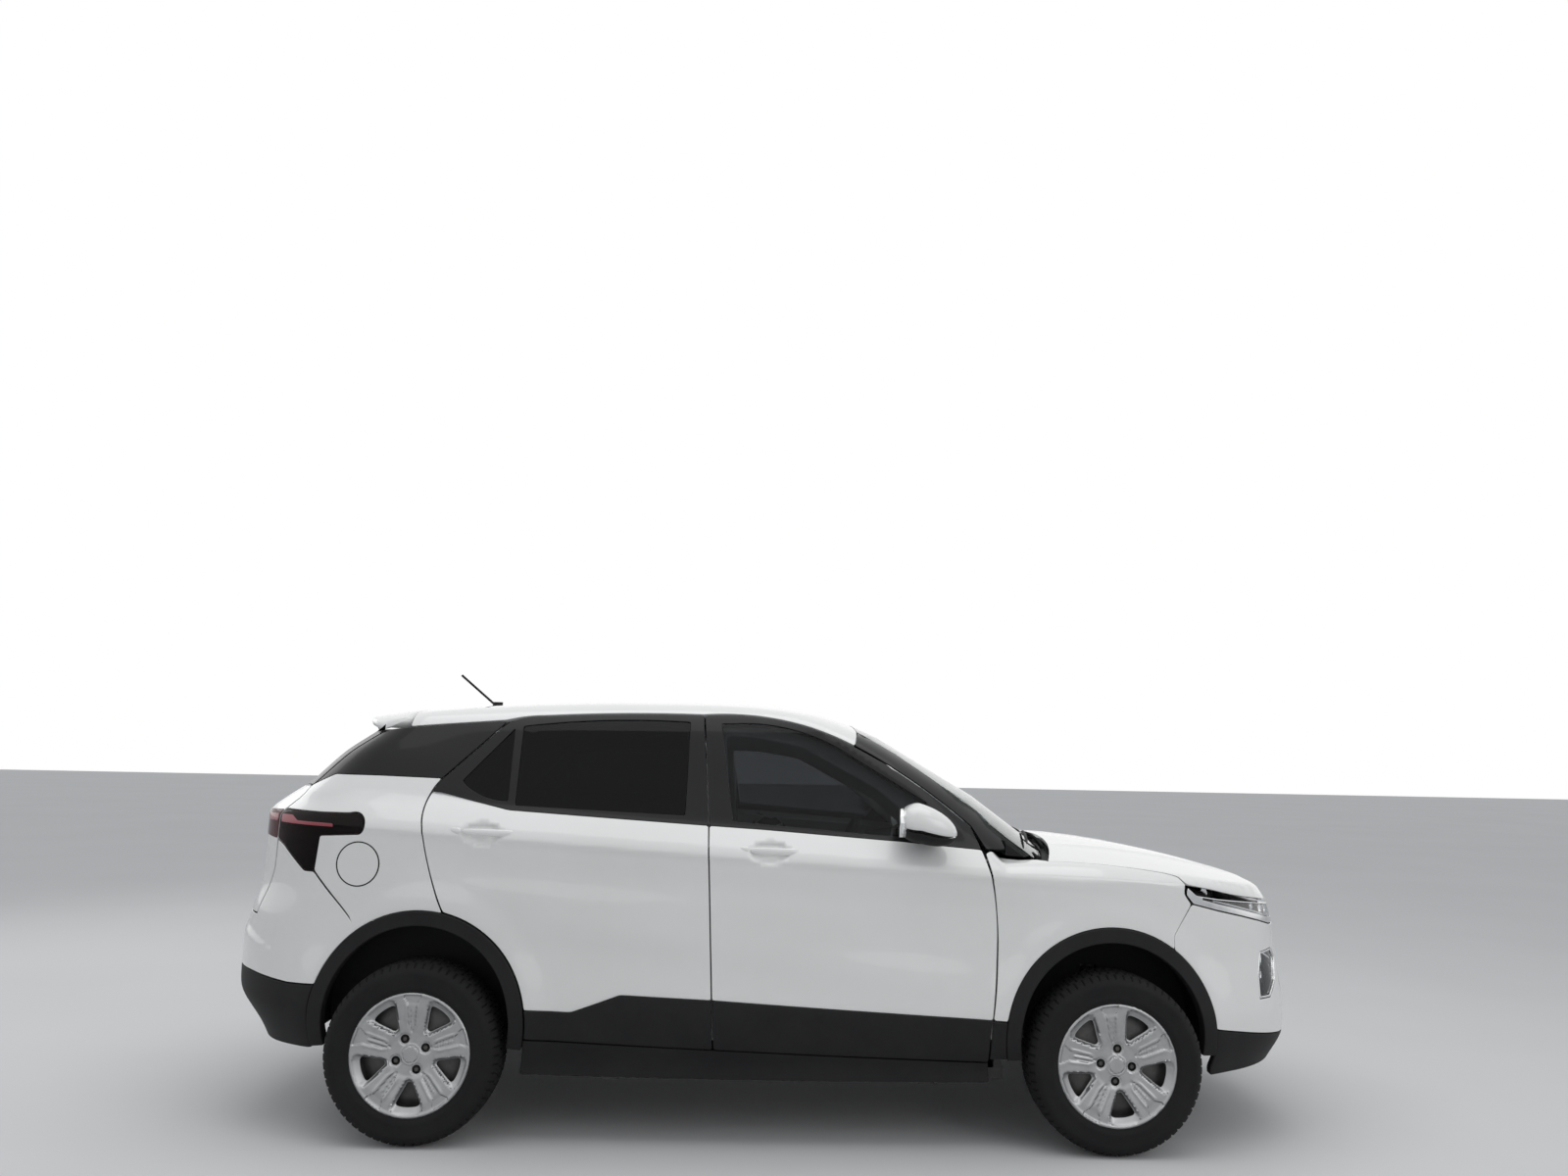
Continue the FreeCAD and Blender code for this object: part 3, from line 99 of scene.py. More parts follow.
# Materials
class Shader:
    """A material's node tree, with short calls for the nodes that this script uses."""

    def __init__(self, name):
        self.material = bpy.data.materials.new(name)
        self.material.use_nodes = True
        self.tree = self.material.node_tree
        self.main = self.tree.nodes["Principled BSDF"]
        self.position = None

    def node(self, kind, **values):
        made = self.tree.nodes.new(kind)
        for key, value in values.items():
            setattr(made, key, value)
        return made

    def link(self, source, target):
        self.tree.links.new(source, target)

    def set(self, **values):
        for key, value in values.items():
            socket = self.main.inputs[key.replace("_", " ")]
            socket.default_value = value
        return self

    def place(self):
        if self.position is None:
            self.position = self.node("ShaderNodeTexCoord").outputs["Object"]
        return self.position

    def noise(self, scale, detail=3, rough=0.5):
        made = self.node("ShaderNodeTexNoise")
        made.inputs["Scale"].default_value = scale
        made.inputs["Detail"].default_value = detail
        made.inputs["Roughness"].default_value = rough
        self.link(self.place(), made.inputs["Vector"])
        return made.outputs["Fac"]

    def cells(self, scale):
        made = self.node("ShaderNodeTexVoronoi")
        made.inputs["Scale"].default_value = scale
        self.link(self.place(), made.inputs["Vector"])
        return made.outputs["Distance"]

    def math(self, operation, a, b=None):
        made = self.node("ShaderNodeMath", operation=operation)
        for index, value in enumerate((a, b)):
            if value is None:
                continue
            if isinstance(value, (int, float)):
                made.inputs[index].default_value = value
            else:
                self.link(value, made.inputs[index])
        return made.outputs[0]

    def ramp(self, factor, low, high, colour_low, colour_high):
        made = self.node("ShaderNodeValToRGB")
        made.color_ramp.elements[0].position = low
        made.color_ramp.elements[0].color = (*colour_low, 1)
        made.color_ramp.elements[1].position = high
        made.color_ramp.elements[1].color = (*colour_high, 1)
        self.link(factor, made.inputs["Fac"])
        return made.outputs["Color"]

    def colour(self, socket):
        self.link(socket, self.main.inputs["Base Color"])
        return self

    def bump(self, height, strength, distance):
        made = self.node("ShaderNodeBump")
        made.inputs["Strength"].default_value = strength
        made.inputs["Distance"].default_value = distance
        self.link(height, made.inputs["Height"])
        self.link(made.outputs["Normal"], self.main.inputs["Normal"])
        return self

    def roughness(self, factor, low, high):
        spread = self.node("ShaderNodeMapRange")
        spread.inputs["To Min"].default_value = low
        spread.inputs["To Max"].default_value = high
        self.link(factor, spread.inputs["Value"])
        self.link(spread.outputs["Result"], self.main.inputs["Roughness"])
        return self


def painted(name, base, dust, rough=0.32, coat=1.0, specular=0.5):
    shader = Shader(name)
    shader.set(Coat_Weight=coat, Coat_Roughness=0.04, Coat_IOR=1.5, Specular_IOR_Level=specular)
    cloud = shader.noise(2.2, 4, 0.6)
    shader.colour(shader.ramp(cloud, 0.35, 0.75, base, dust))
    shader.roughness(cloud, rough, rough + 0.08)
    shader.bump(shader.noise(260, 2), 0.05, 0.0006)
    return shader.material


def plastic(name, base, light, rough, grain=900, strength=0.25, specular=0.2):
    shader = Shader(name)
    shader.set(Specular_IOR_Level=specular)
    cloud = shader.noise(7, 5, 0.65)
    shader.colour(shader.ramp(cloud, 0.3, 0.8, base, light))
    shader.roughness(cloud, rough, rough + 0.14)
    shader.bump(shader.cells(grain), strength, 0.0004)
    return shader.material


def metal(name, base, light, rough, scale=40, strength=0.15, metallic=1.0):
    shader = Shader(name)
    shader.set(Metallic=metallic)
    cloud = shader.noise(scale, 5, 0.6)
    shader.colour(shader.ramp(cloud, 0.3, 0.75, base, light))
    shader.roughness(cloud, rough, rough + 0.15)
    shader.bump(shader.noise(scale * 8, 3), strength, 0.0005)
    return shader.material


def clear(name, colour, rough=0.02, bend=1.2, coat=0.1):
    shader = Shader(name)
    shader.set(Transmission_Weight=1.0, Roughness=rough, IOR=bend, Coat_Weight=coat, Coat_Roughness=0.02)
    shader.colour(shader.ramp(shader.noise(3, 2), 0.3, 0.8, colour, tuple(c * 0.9 for c in colour)))
    return shader.material


WHITE = painted("white_paint", (0.80, 0.80, 0.79), (0.77, 0.77, 0.755))
GLOSS_BLACK = painted("gloss_black", (0.008, 0.008, 0.009), (0.011, 0.011, 0.012), 0.25, 0.2, 0.15)
BLACK = plastic("black_plastic", (0.010, 0.010, 0.011), (0.018, 0.018, 0.018), 0.55)
SOFT_BLACK = plastic("soft_black", (0.012, 0.012, 0.012), (0.02, 0.02, 0.02), 0.75, 300, 0.1)
RUBBER = plastic("tyre_rubber", (0.008, 0.008, 0.009), (0.016, 0.016, 0.016), 0.7, 700, 0.2)
# Near-black finish of the ring round the fuel flap: painted shade in place of the shadow in its seam
SEAM_SHADE = plastic("painted_seam_shade", (0.01, 0.01, 0.01), (0.016, 0.016, 0.016), 0.6, 1200, 0.1)
SILVER = metal("silver_wheel", (0.36, 0.365, 0.37), (0.42, 0.425, 0.43), 0.28, 30, 0.03, 0.8)
CHROME = metal("chrome", (0.80, 0.81, 0.82), (0.86, 0.87, 0.88), 0.07, 20, 0.01)
STEEL = metal("dark_steel", (0.06, 0.06, 0.062), (0.11, 0.105, 0.10), 0.5, 25, 0.3, 0.7)
CAST = metal("cast_metal", (0.20, 0.20, 0.205), (0.30, 0.30, 0.30), 0.55, 90, 0.6, 0.8)
DARK_GLASS = clear("dark_glass", (0.02, 0.022, 0.026))
TINTED_GLASS = clear("tinted_glass", (0.16, 0.17, 0.18))
SCREEN_GLASS = clear("screen_glass", (0.55, 0.60, 0.58))
LENS = clear("lamp_lens", (0.93, 0.94, 0.95), 0.02, 1.3, 0.3)
RED_LENS = clear("red_lens", (0.55, 0.012, 0.015), 0.06)
RED_STRIP = painted("red_strip", (0.30, 0.03, 0.05), (0.36, 0.05, 0.07), 0.2, 0.6)
LIGHT_BAR = painted("light_bar", (0.50, 0.51, 0.53), (0.58, 0.59, 0.60), 0.2, 0.6)
SMOKED_LENS = clear("smoked_lens", (0.10, 0.035, 0.04), 0.05)
TRIM = plastic("dark_trim", (0.022, 0.022, 0.024), (0.035, 0.035, 0.037), 0.55, 500, 0.35)


def woven(name, base, light):
    """A cloth with threads both ways."""
    shader = Shader(name)
    shader.set(Roughness=0.9, Specular_IOR_Level=0.1)
    shader.colour(shader.ramp(shader.noise(18, 4), 0.3, 0.8, base, light))
    threads = []
    for direction in ("Y", "Z"):
        wave = shader.node("ShaderNodeTexWave", bands_direction=direction)
        wave.inputs["Scale"].default_value = 110
        wave.inputs["Distortion"].default_value = 0.4
        shader.link(shader.place(), wave.inputs["Vector"])
        threads.append(wave.outputs["Fac"])
    shader.bump(shader.math("MULTIPLY", *threads), 0.15, 0.0005)
    return shader.material


FABRIC = woven("seat_fabric", (0.035, 0.035, 0.038), (0.06, 0.06, 0.063))


# The body's surface, as an implicit function: above zero outside and below zero inside.
# height, slope along x, front x, rear x, half width, front corner radius, rear corner radius
LOWER_LEVELS = [
    (235, 0, FRONT_END - 90, REAR_END + 150, HALF_WIDTH - 80, 300, 300),
    (360, 0, FRONT_END - 4, REAR_END + 100, HALF_WIDTH - 32, 313, 310),
    (480, 0, FRONT_END, REAR_END + 8, HALF_WIDTH - 14, 313, 310),
    (690, 0, FRONT_END - 30, REAR_END + 2, HALF_WIDTH - 26, 325, 310),
    (790, 0, FRONT_END - 34, REAR_END + 22, HALF_WIDTH - 22, 330, 310),
    (890, 0, FRONT_END - 62, REAR_END + 70, HALF_WIDTH - 14, 330, 310),
    (CREASE, -0.058, FRONT_END - 90, REAR_END + 72, HALF_WIDTH - 8, 330, 330),
    (BELT, -0.06, FRONT_END - 120, REAR_END + 185, HALF_WIDTH - 64, 300, 260),
    (BELT + 120, -0.06, FRONT_END - 150, REAR_END + 375, HALF_WIDTH - 165, 260, 200),
]
CABIN_LEVELS = [
    (BELT - 28, -0.06, 1161, -1931, 815, 150, 200),
    (1300, -0.06, 863, -1738, 718, 140, 150),
    (1500, -0.03, 455, -1529, 634, 120, 130),
    (1575, 0, 250, -1500, 588, 110, 120),
    (1650, 0, 40, -1420, 490, 100, 100),
]
FRONT_BOW = 1600
REAR_BOW = 3300
SIDE_BOW = 16000
SIDE_BOW_X = -50
HEIGHTS = np.arange(100.0, 1800.0, 2.0)


def smoothed_levels(rows, spread):
    """The level table on a fine scale of heights, with the kinks between the levels rounded."""
    heights = [row[0] for row in rows]
    offsets = HEIGHTS[:, None] - HEIGHTS[None, :]
    weights = np.exp(-0.5 * (offsets / spread[:, None]) ** 2)
    weights /= weights.sum(axis=1)[:, None]
    return [weights @ np.interp(HEIGHTS, heights, [row[column] for row in rows]) for column in range(1, 7)]


lower_spread = 26 - 16 * np.exp(-((HEIGHTS - CREASE) / 45) ** 2)
LOWER = smoothed_levels(LOWER_LEVELS, lower_spread)
CABIN = smoothed_levels(CABIN_LEVELS, np.full_like(HEIGHTS, 30.0))


def straight_to(a, b, count):
    """Points on the straight line from a to b, without the first."""
    return [(a[0] + (b[0] - a[0]) * k / count, a[1] + (b[1] - a[1]) * k / count) for k in range(1, count + 1)]


def arc_through(a, m, b, count):
    """Points on the arc from a through m to b, without the first."""
    turn = 2 * (a[0] * (m[1] - b[1]) + m[0] * (b[1] - a[1]) + b[0] * (a[1] - m[1]))
    if abs(turn) < 1e-6:
        return straight_to(a, b, count)
    sa, sm, sb = (p[0] ** 2 + p[1] ** 2 for p in (a, m, b))
    cx = (sa * (m[1] - b[1]) + sm * (b[1] - a[1]) + sb * (a[1] - m[1])) / turn
    cy = (sa * (b[0] - m[0]) + sm * (a[0] - b[0]) + sb * (m[0] - a[0])) / turn
    radius = math.hypot(a[0] - cx, a[1] - cy)
    start = math.atan2(a[1] - cy, a[0] - cx)
    middle = (math.atan2(m[1] - cy, m[0] - cx) - start) % (2 * math.pi)
    sweep = (math.atan2(b[1] - cy, b[0] - cx) - start) % (2 * math.pi)
    if middle > sweep:
        sweep -= 2 * math.pi
    turns = [start + sweep * k / count for k in range(1, count + 1)]
    return [(cx + radius * math.cos(turn), cy + radius * math.sin(turn)) for turn in turns]


def traced(points, closed=True, step=12.0):
    """Points along an outline; a point of four numbers ends an arc through its first two."""
    found = [points[0][-2:]]
    for point in list(points[1:]) + ([points[0][-2:]] if closed else []):
        here = found[-1]
        end = point[-2:]
        length = math.hypot(end[0] - here[0], end[1] - here[1])
        count = max(1, int(math.ceil(length / step)))
        if len(point) == 4:
            found += arc_through(here, point[:2], end, max(count, 4))
        else:
            found += straight_to(here, end, count)
    return np.array(found[:-1] if closed else found, float)


def profile_of(points):
    """A height line seen from the side, smoothed: its places along x and its heights."""
    line = traced(points, closed=False, step=10)
    scale = np.arange(line[0, 0], line[-1, 0], 5.0)
    heights = np.interp(scale, line[:, 0], line[:, 1])
    kernel = np.exp(-0.5 * (np.arange(-6, 7) / 2.5) ** 2)
    padded = np.concatenate([np.full(6, heights[0]), heights, np.full(6, heights[-1])])
    return scale, np.convolve(padded, kernel / kernel.sum(), mode="valid")


HOOD_PROFILE = profile_of([
    (640, CREASE + 280), (860, CREASE + 40), (1500, CREASE + 4, FRONT_END - 210, CREASE - 80),
    (FRONT_END - 104, CREASE - 134, FRONT_END - 46, CREASE - 222), (FRONT_END + 200, 300)])
ROOF_HEIGHT = 1624
ROOF_PROFILE = profile_of([
    (-1800, ROOF_HEIGHT - 93), (-400, ROOF_HEIGHT, -150, ROOF_HEIGHT - 3),
    (180, ROOF_HEIGHT - 40, 500, ROOF_HEIGHT - 131), (1300, 1100)])
HOOD_CROWN = 4900
ROOF_CROWN = 5500


def cap_height(profile, centre, crown, x, y):
    """Height of a crowned cap at (x, y)."""
    low = centre - crown
    radius = np.interp(x, profile[0], profile[1]) - low
    return low + np.sqrt(np.maximum(radius ** 2 - y ** 2, 1.0))


def rounded(a, b, radius):
    """Common part of two solids, with the edge between them rounded."""
    u = a + radius
    v = b + radius
    return np.minimum(np.maximum(u, v), 0) + np.hypot(np.maximum(u, 0), np.maximum(v, 0)) - radius


def loft(x, y, z, levels):
    """Distance outside the bowed walls that the levels give, below zero inside."""
    height = z
    for _ in range(3):
        height = z - x * np.interp(height, HEIGHTS, levels[0])
    front, rear, half, front_corner, rear_corner = (np.interp(height, HEIGHTS, column) for column in levels[1:])
    side = np.hypot(x - SIDE_BOW_X, y - (half - SIDE_BOW)) - SIDE_BOW
    ahead_of = np.hypot(x - (front - FRONT_BOW), y) - FRONT_BOW
    behind = np.hypot(x - (rear + REAR_BOW), y) - REAR_BOW
    return np.where(x > 0, rounded(ahead_of, side, front_corner), rounded(behind, side, rear_corner))


def bell(value, centre, width):
    """One at the centre, falling to nothing beyond the width."""
    return np.exp(-((value - centre) / width) ** 2)


def step_up(value, start, end):
    """From zero at the start to one at the end, without a kink."""
    t = np.clip((value - start) / (end - start), 0, 1)
    return t * t * (3 - 2 * t)


def relief(x, y, z):
    """How far the sheet metal stands out from the plain levels."""
    side = step_up(y, 560, 700)
    height = z + 0.058 * x
    out = -8 * bell(height, 912, 70) * step_up(x, -1500, -1000) * (1 - step_up(x, 700, 1250)) * side
    out += 5 * bell(height, 1026, 16) * step_up(x, -1850, -1300) * (1 - step_up(x, 900, 1500)) * side
    out += 9 * bell(height, 690 - 0.06 * x, 85) * step_up(x, -1150, -500) * (1 - step_up(x, 500, 900)) * side
    for grip_x, grip_z in ((-12, 1052), (-1077, 1100)):
        bowl = 1 - ((x - grip_x) / 82) ** 2 - ((z - grip_z) / 44) ** 2
        out -= 17 * step_up(bowl, -0.06, 0.75) * side
    # The ledge at the rear corners, which runs out to a point towards the wheel arch
    share = np.clip((-1846 - x) / 214, 0, 1)
    low, high = 652 + 36 * share, 654 + 101 * share
    out -= 11 * share * step_up(z, low, high + 1) * (1 - step_up(z, high + 20, 930))
    for axle, arch in ((FRONT_AXLE, FRONT_ARCH), (REAR_AXLE, REAR_ARCH)):
        reach = np.hypot(x - axle, z - arch)
        out += 9 * (1 - step_up(reach, ARCH_OUTER + 10, ARCH_OUTER + 115)) * side
    return out


def lower_skin(x, y, z):
    y = np.abs(y)
    walls = loft(x, y, z, LOWER)
    top = np.maximum(z - cap_height(HOOD_PROFILE, CREASE + 11, HOOD_CROWN, x, y), z + 0.06 * x - (BELT + 118))
    top -= 6 * bell(y, 410 - 0.14 * (x - 1100), 34) * step_up(x, 1060, 1260) * (1 - step_up(x, 1820, 1990))
    return rounded(walls, top, 34) - relief(x, y, z)


def cabin_skin(x, y, z):
    y = np.abs(y)
    walls = loft(x, y, z, CABIN)
    top = z - cap_height(ROOF_PROFILE, ROOF_HEIGHT, ROOF_CROWN, x, y)
    return rounded(walls, top, 42)


def body_skin(x, y, z):
    a = lower_skin(x, y, z)
    b = cabin_skin(x, y, z)
    blend = 10.0
    near = np.maximum(blend - np.abs(a - b), 0) / blend
    return np.minimum(a, b) - near * near * blend * 0.25


# A view says where the ray of each point of a flat outline starts and which way it looks
NOSE_AXIS = 1100
TAIL_AXIS = -1100


def slanted(view):
    """Across, up and looking directions of a view given as (azimuth, elevation)."""
    turn, tilt = math.radians(view[0]), math.radians(view[1])
    look = np.array([math.cos(turn) * math.cos(tilt), math.sin(turn) * math.cos(tilt), -math.sin(tilt)])
    across = np.array([math.sin(turn), -math.cos(turn), 0])
    above = np.array([math.cos(turn) * math.sin(tilt), math.sin(turn) * math.sin(tilt), math.cos(tilt)])
    return across, above, look


def rays(view, points):
    """For points of a flat outline: where their rays start, which way they look, and how far."""
    a, b = points[:, 0], points[:, 1]
    zero = np.zeros_like(a)
    one = np.ones_like(a)
    if isinstance(view, tuple):
        across, above, look = slanted(view)
        start = a[:, None] * across + b[:, None] * above - 2600 * look
        return start, np.broadcast_to(look, start.shape), 2900
    if view == "side":
        return np.stack([a, -1100 * one, b], 1), np.stack([zero, one, zero], 1), 1000
    if view == "top":
        return np.stack([a, b, 1750 * one], 1), np.stack([zero, zero, -one], 1), 1300
    if view == "rear":
        return np.stack([-2400 * one, a, b], 1), np.stack([one, zero, zero], 1), 1100
    if view == "front":
        return np.stack([2400 * one, a, b], 1), np.stack([-one, zero, zero], 1), 2000
    axis, way = (NOSE_AXIS, 1) if view == "nose" else (TAIL_AXIS, -1)
    turn = a / 1000
    out = np.stack([way * np.cos(turn), np.sin(turn), zero], 1)
    centre = np.stack([axis * one, zero, b], 1)
    return centre + out * 1500, -out, 1400


def on_skin(view, points, skin):
    """Points of a flat outline put on the surface, and the surface's outward normals there."""
    start, way, reach = rays(view, points)

    def value(distance):
        place = start + way * distance[:, None]
        return skin(place[:, 0], place[:, 1], place[:, 2])

    steps = 14 if reach < 2500 else 36
    near = np.zeros(len(points))
    far = np.full(len(points), float(reach))
    open_rays = np.ones(len(points), bool)
    last = np.zeros(len(points))
    for index in range(1, steps + 1):
        here = np.full(len(points), reach * index / steps)
        inside = (value(here) < 0) & open_rays
        near[inside] = last[inside]
        far[inside] = here[inside]
        open_rays &= ~inside
        last = here
    for _ in range(14):
        middle = (near + far) / 2
        inside = value(middle) < 0
        far = np.where(inside, middle, far)
        near = np.where(inside, near, middle)
    place = start + way * ((near + far) / 2)[:, None]
    return place, normals_at(place, skin)


def normals_at(place, skin):
    x, y, z = place.T
    d = 1.5
    slope = np.stack([
        skin(x + d, y, z) - skin(x - d, y, z),
        skin(x, y + d, z) - skin(x, y - d, z),
        skin(x, y, z + d) - skin(x, y, z - d)], 1)
    return slope / np.maximum(np.linalg.norm(slope, axis=1), 1e-9)[:, None]


def to_view(view, place):
    """Where points of the surface are in a view's flat coordinates."""
    if isinstance(view, tuple):
        across, above, look = slanted(view)
        return np.stack([place @ across, place @ above], 1)
    if view == "side":
        return place[:, [0, 2]]
    if view == "top":
        return place[:, [0, 1]]
    if view in ("rear", "front"):
        return place[:, [1, 2]]
    axis, way = (NOSE_AXIS, 1) if view == "nose" else (TAIL_AXIS, -1)
    return np.stack([np.arctan2(place[:, 1], way * (place[:, 0] - axis)) * 1000, place[:, 2]], 1)


def moved(points, old, new, skin):
    """An open or closed line drawn in one view, as it is in another."""
    return to_view(new, on_skin(old, np.asarray(points, float), skin)[0])


def even(points, step=9.0, soften=0.0):
    """A closed line with points at an even spacing, its corners rounded."""
    closed = np.vstack([points, points[:1]])
    along = np.concatenate([[0], np.cumsum(np.linalg.norm(np.diff(closed, axis=0), axis=1))])
    fine = 3.0 if soften else step
    count = max(12, int(along[-1] / fine))
    at = np.arange(count) * along[-1] / count
    line = np.stack([np.interp(at, along, closed[:, 0]), np.interp(at, along, closed[:, 1])], 1)
    if soften:
        reach = int(soften * 2 / fine) + 1
        kernel = np.exp(-0.5 * (np.arange(-reach, reach + 1) * fine / (soften * 0.6)) ** 2)
        kernel /= kernel.sum()
        wrapped = np.vstack([line[-reach:], line, line[:reach]])
        line = np.stack([np.convolve(wrapped[:, k], kernel, mode="valid") for k in (0, 1)], 1)
        stride = max(1, int(round(step / fine)))
        line = line[::stride]
    return line


def area_of(points):
    """The area in a closed line, below zero where it runs clockwise."""
    x, y = points.T
    return 0.5 * np.sum(x * np.roll(y, -1) - np.roll(x, -1) * y)


def grown(points, distance):
    """A closed line moved out by a distance, or in by a negative one."""
    way = 1 if area_of(points) > 0 else -1
    along = np.roll(points, -1, axis=0) - np.roll(points, 1, axis=0)
    along /= np.maximum(np.linalg.norm(along, axis=1), 1e-9)[:, None]
    return points + way * distance * np.stack([along[:, 1], -along[:, 0]], 1)


def inside_of(points, line):
    """Which points lie inside a closed line."""
    found = np.zeros(len(points), bool)
    x, y = points.T
    for (x0, y0), (x1, y1) in zip(line, np.roll(line, -1, axis=0)):
        if y0 == y1:
            continue
        crosses = (y0 > y) != (y1 > y)
        found ^= crosses & (x < (x1 - x0) * (y - y0) / (y1 - y0) + x0)
    return found


def distance_to(points, line):
    """How far points lie from a closed line."""
    best = np.full(len(points), 1e9)
    for a, b in zip(line, np.roll(line, -1, axis=0)):
        d = b - a
        t = np.clip(((points - a) @ d) / max(d @ d, 1e-9), 0, 1)
        best = np.minimum(best, np.linalg.norm(points - a - t[:, None] * d, axis=1))
    return best


def filled(outline, holes, step):
    """Triangles that fill a closed outline except its holes: points, triangles and border loops."""
    lines = [outline] + list(holes)
    low, high = outline.min(0), outline.max(0)
    rows = []
    for index, b in enumerate(np.arange(low[1], high[1], step * 0.866)):
        a = np.arange(low[0] + (step / 2 if index % 2 else 0), high[0], step)
        rows.append(np.stack([a, np.full_like(a, b)], 1))
    grid = np.vstack(rows)
    keep = inside_of(grid, outline)
    for hole in holes:
        keep &= ~inside_of(grid, hole)
    grid = grid[keep]
    for line in lines:
        grid = grid[distance_to(grid, line) > step * 0.5]
    points = np.vstack(lines + [grid])
    edges = []
    start = 0
    for line in lines:
        count = len(line)
        edges += [(start + k, start + (k + 1) % count) for k in range(count)]
        start += count
    made = delaunay_2d_cdt([Vector(p) for p in points.tolist()], edges, [], 0, 1e-4)
    points = np.array([tuple(p) for p in made[0]])
    faces = np.array([f for f in made[2] if len(f) == 3])
    centres = points[faces].mean(axis=1)
    keep = inside_of(centres, outline)
    for hole in holes:
        keep &= ~inside_of(centres, hole)
    faces = faces[keep]
    a, b, c = points[faces[:, 0]], points[faces[:, 1]], points[faces[:, 2]]
    area = (b[:, 0] - a[:, 0]) * (c[:, 1] - a[:, 1]) - (c[:, 0] - a[:, 0]) * (b[:, 1] - a[:, 1])
    faces[area < 0] = faces[area < 0][:, ::-1]
    used = np.unique(faces)
    renumber = np.full(len(points), -1)
    renumber[used] = np.arange(len(used))
    points, faces = points[used], renumber[faces]
    directed = {}
    for f in faces.tolist():
        for k in range(3):
            directed[(f[k], f[(k + 1) % 3])] = True
    following = {}
    for a, b in directed:
        if (b, a) not in directed:
            following.setdefault(a, []).append(b)
    loops = []
    while following:
        first = next(iter(following))
        loop = []
        here = first
        while here in following:
            loop.append(here)
            after = following[here].pop()
            if not following[here]:
                del following[here]
            here = after
        loops.append(np.array(loop))
    return points, faces, loops


def object_from(name, points, faces, material, normals=None):
    """A mesh object from points in millimetres, with the slot of its material."""
    mesh = bpy.data.meshes.new(name)
    mesh.from_pydata((np.asarray(points) * MM).tolist(), [], [list(map(int, f)) for f in faces])
    mesh.materials.append(material)
    mesh.shade_smooth()
    if normals is not None:
        mesh.normals_split_custom_set_from_vertices(np.asarray(normals).tolist())
    piece = bpy.data.objects.new(name, mesh)
    bpy.context.scene.collection.objects.link(piece)
    return piece


def shell(place, normals, faces, loops, depth, edge):
    """A closed sheet of a given depth behind a surface, with rounded edges."""
    count = len(place)
    depth = np.broadcast_to(np.asarray(depth, float), (count,))
    points = [place, place - normals * depth[:, None]]
    shading = [normals, -normals]
    solid = [tuple(f) for f in faces] + [tuple(f[::-1] + count) for f in faces]
    start = 2 * count
    turns = [math.radians(a) for a in (30, 60, 90)] if edge > 0.8 else [math.radians(90)]
    for loop in loops:
        here = place[loop]
        facing = normals[loop]
        along = np.roll(here, -1, axis=0) - np.roll(here, 1, axis=0)
        along /= np.maximum(np.linalg.norm(along, axis=1), 1e-9)[:, None]
        outward = np.cross(along, facing)
        outward /= np.maximum(np.linalg.norm(outward, axis=1), 1e-9)[:, None]
        rings = [loop]
        size = len(loop)
        deep = depth[loop][:, None]
        for turn in turns:
            points.append(here + outward * edge * math.sin(turn) - facing * edge * (1 - math.cos(turn)))
            shading.append(outward * math.sin(turn) + facing * math.cos(turn))
            rings.append(np.arange(start, start + size))
            start += size
        points.append(here + outward * edge - facing * np.maximum(deep - 0.4, edge))
        shading.append(outward)
        rings.append(np.arange(start, start + size))
        start += size
        rings.append(loop + count)
        for first, second in zip(rings[:-1], rings[1:]):
            for k in range(size):
                n = (k + 1) % size
                solid.append((first[n], first[k], second[k], second[n]))
    return np.vstack(points), np.vstack(shading), solid


def side_of(points, faces, normals, sign):
    """The piece as it is on the right, or mirrored to the left."""
    if sign < 0:
        return points, faces, normals
    flip = np.array([1, -1, 1])
    return points * flip, [tuple(f[::-1]) for f in faces], None if normals is None else normals * flip


def ends_of(pair):
    """For each piece to make, the sign of its y and the ending of its name."""
    return ((-1, "_right"), (1, "_left")) if pair else ((-1, ""),)


def body_on(body, side):
    """The body that a piece rides on; each door has one on its own side."""
    return body + side if body.startswith("door") else body


def panel(name, view, outline, body, material, holes=(), skin=body_skin, depth=3.0, edge=2.0, step=16.0,
          stand=0.0, soften=6.0, pair=False, spacing=9.0):
    """A sheet panel cut from the body's surface; with pair, one on each side of the car."""
    line = grown(even(np.asarray(outline, float), spacing, soften), -edge)
    cuts = [grown(even(np.asarray(hole, float), spacing, soften), edge) for hole in holes]
    flat, faces, loops = filled(line, cuts, step)
    place, normals = on_skin(view, flat, skin)
    rise = stand(place) if callable(stand) else np.full(len(place), float(stand))
    place = place + normals * rise[:, None]
    a, b, c = (place[faces[:, k]] for k in range(3))
    facing = np.cross(b - a, c - a)
    if np.sum(np.einsum("ij,ij->i", facing, normals[faces[:, 0]]) > 0) < len(faces) / 2:
        faces = faces[:, ::-1]
        loops = [loop[::-1] for loop in loops]
    if callable(depth):
        depth = depth(place)
    points, shading, solid = shell(place, normals, faces, loops, depth, edge)
    made = []
    for sign, side in ends_of(pair):
        here, around, facing = side_of(points, solid, shading, sign)
        piece = object_from(name + side, here, around, material, facing)
        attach(piece, body_on(body, side))
        made.append(piece)
    return made


def stand_for(pieces, *node_names):
    """Pieces on the right and left that replace the nodes of their own side."""
    for piece, side in zip(pieces, ("_right", "_left")):
        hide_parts(*[name + side for name in node_names])


def side_line(points, view, skin=body_skin, step=12.0):
    """A line drawn from the side, as it is in another view."""
    return moved(traced(points, closed=False, step=step), "side", view, skin)


def arc_points(x, z, radius, start, end, count=40):
    """Points of an arc seen from the side, its angles in degrees from the front."""
    return [(x + radius * math.cos(math.radians(a)), z + radius * math.sin(math.radians(a)))
            for a in np.linspace(start, end, count)]


def both_sides(half):
    """A closed outline from the half that starts and ends on the car's middle line."""
    return np.vstack([half, (half[::-1] * np.array([-1, 1]))[1:-1]])


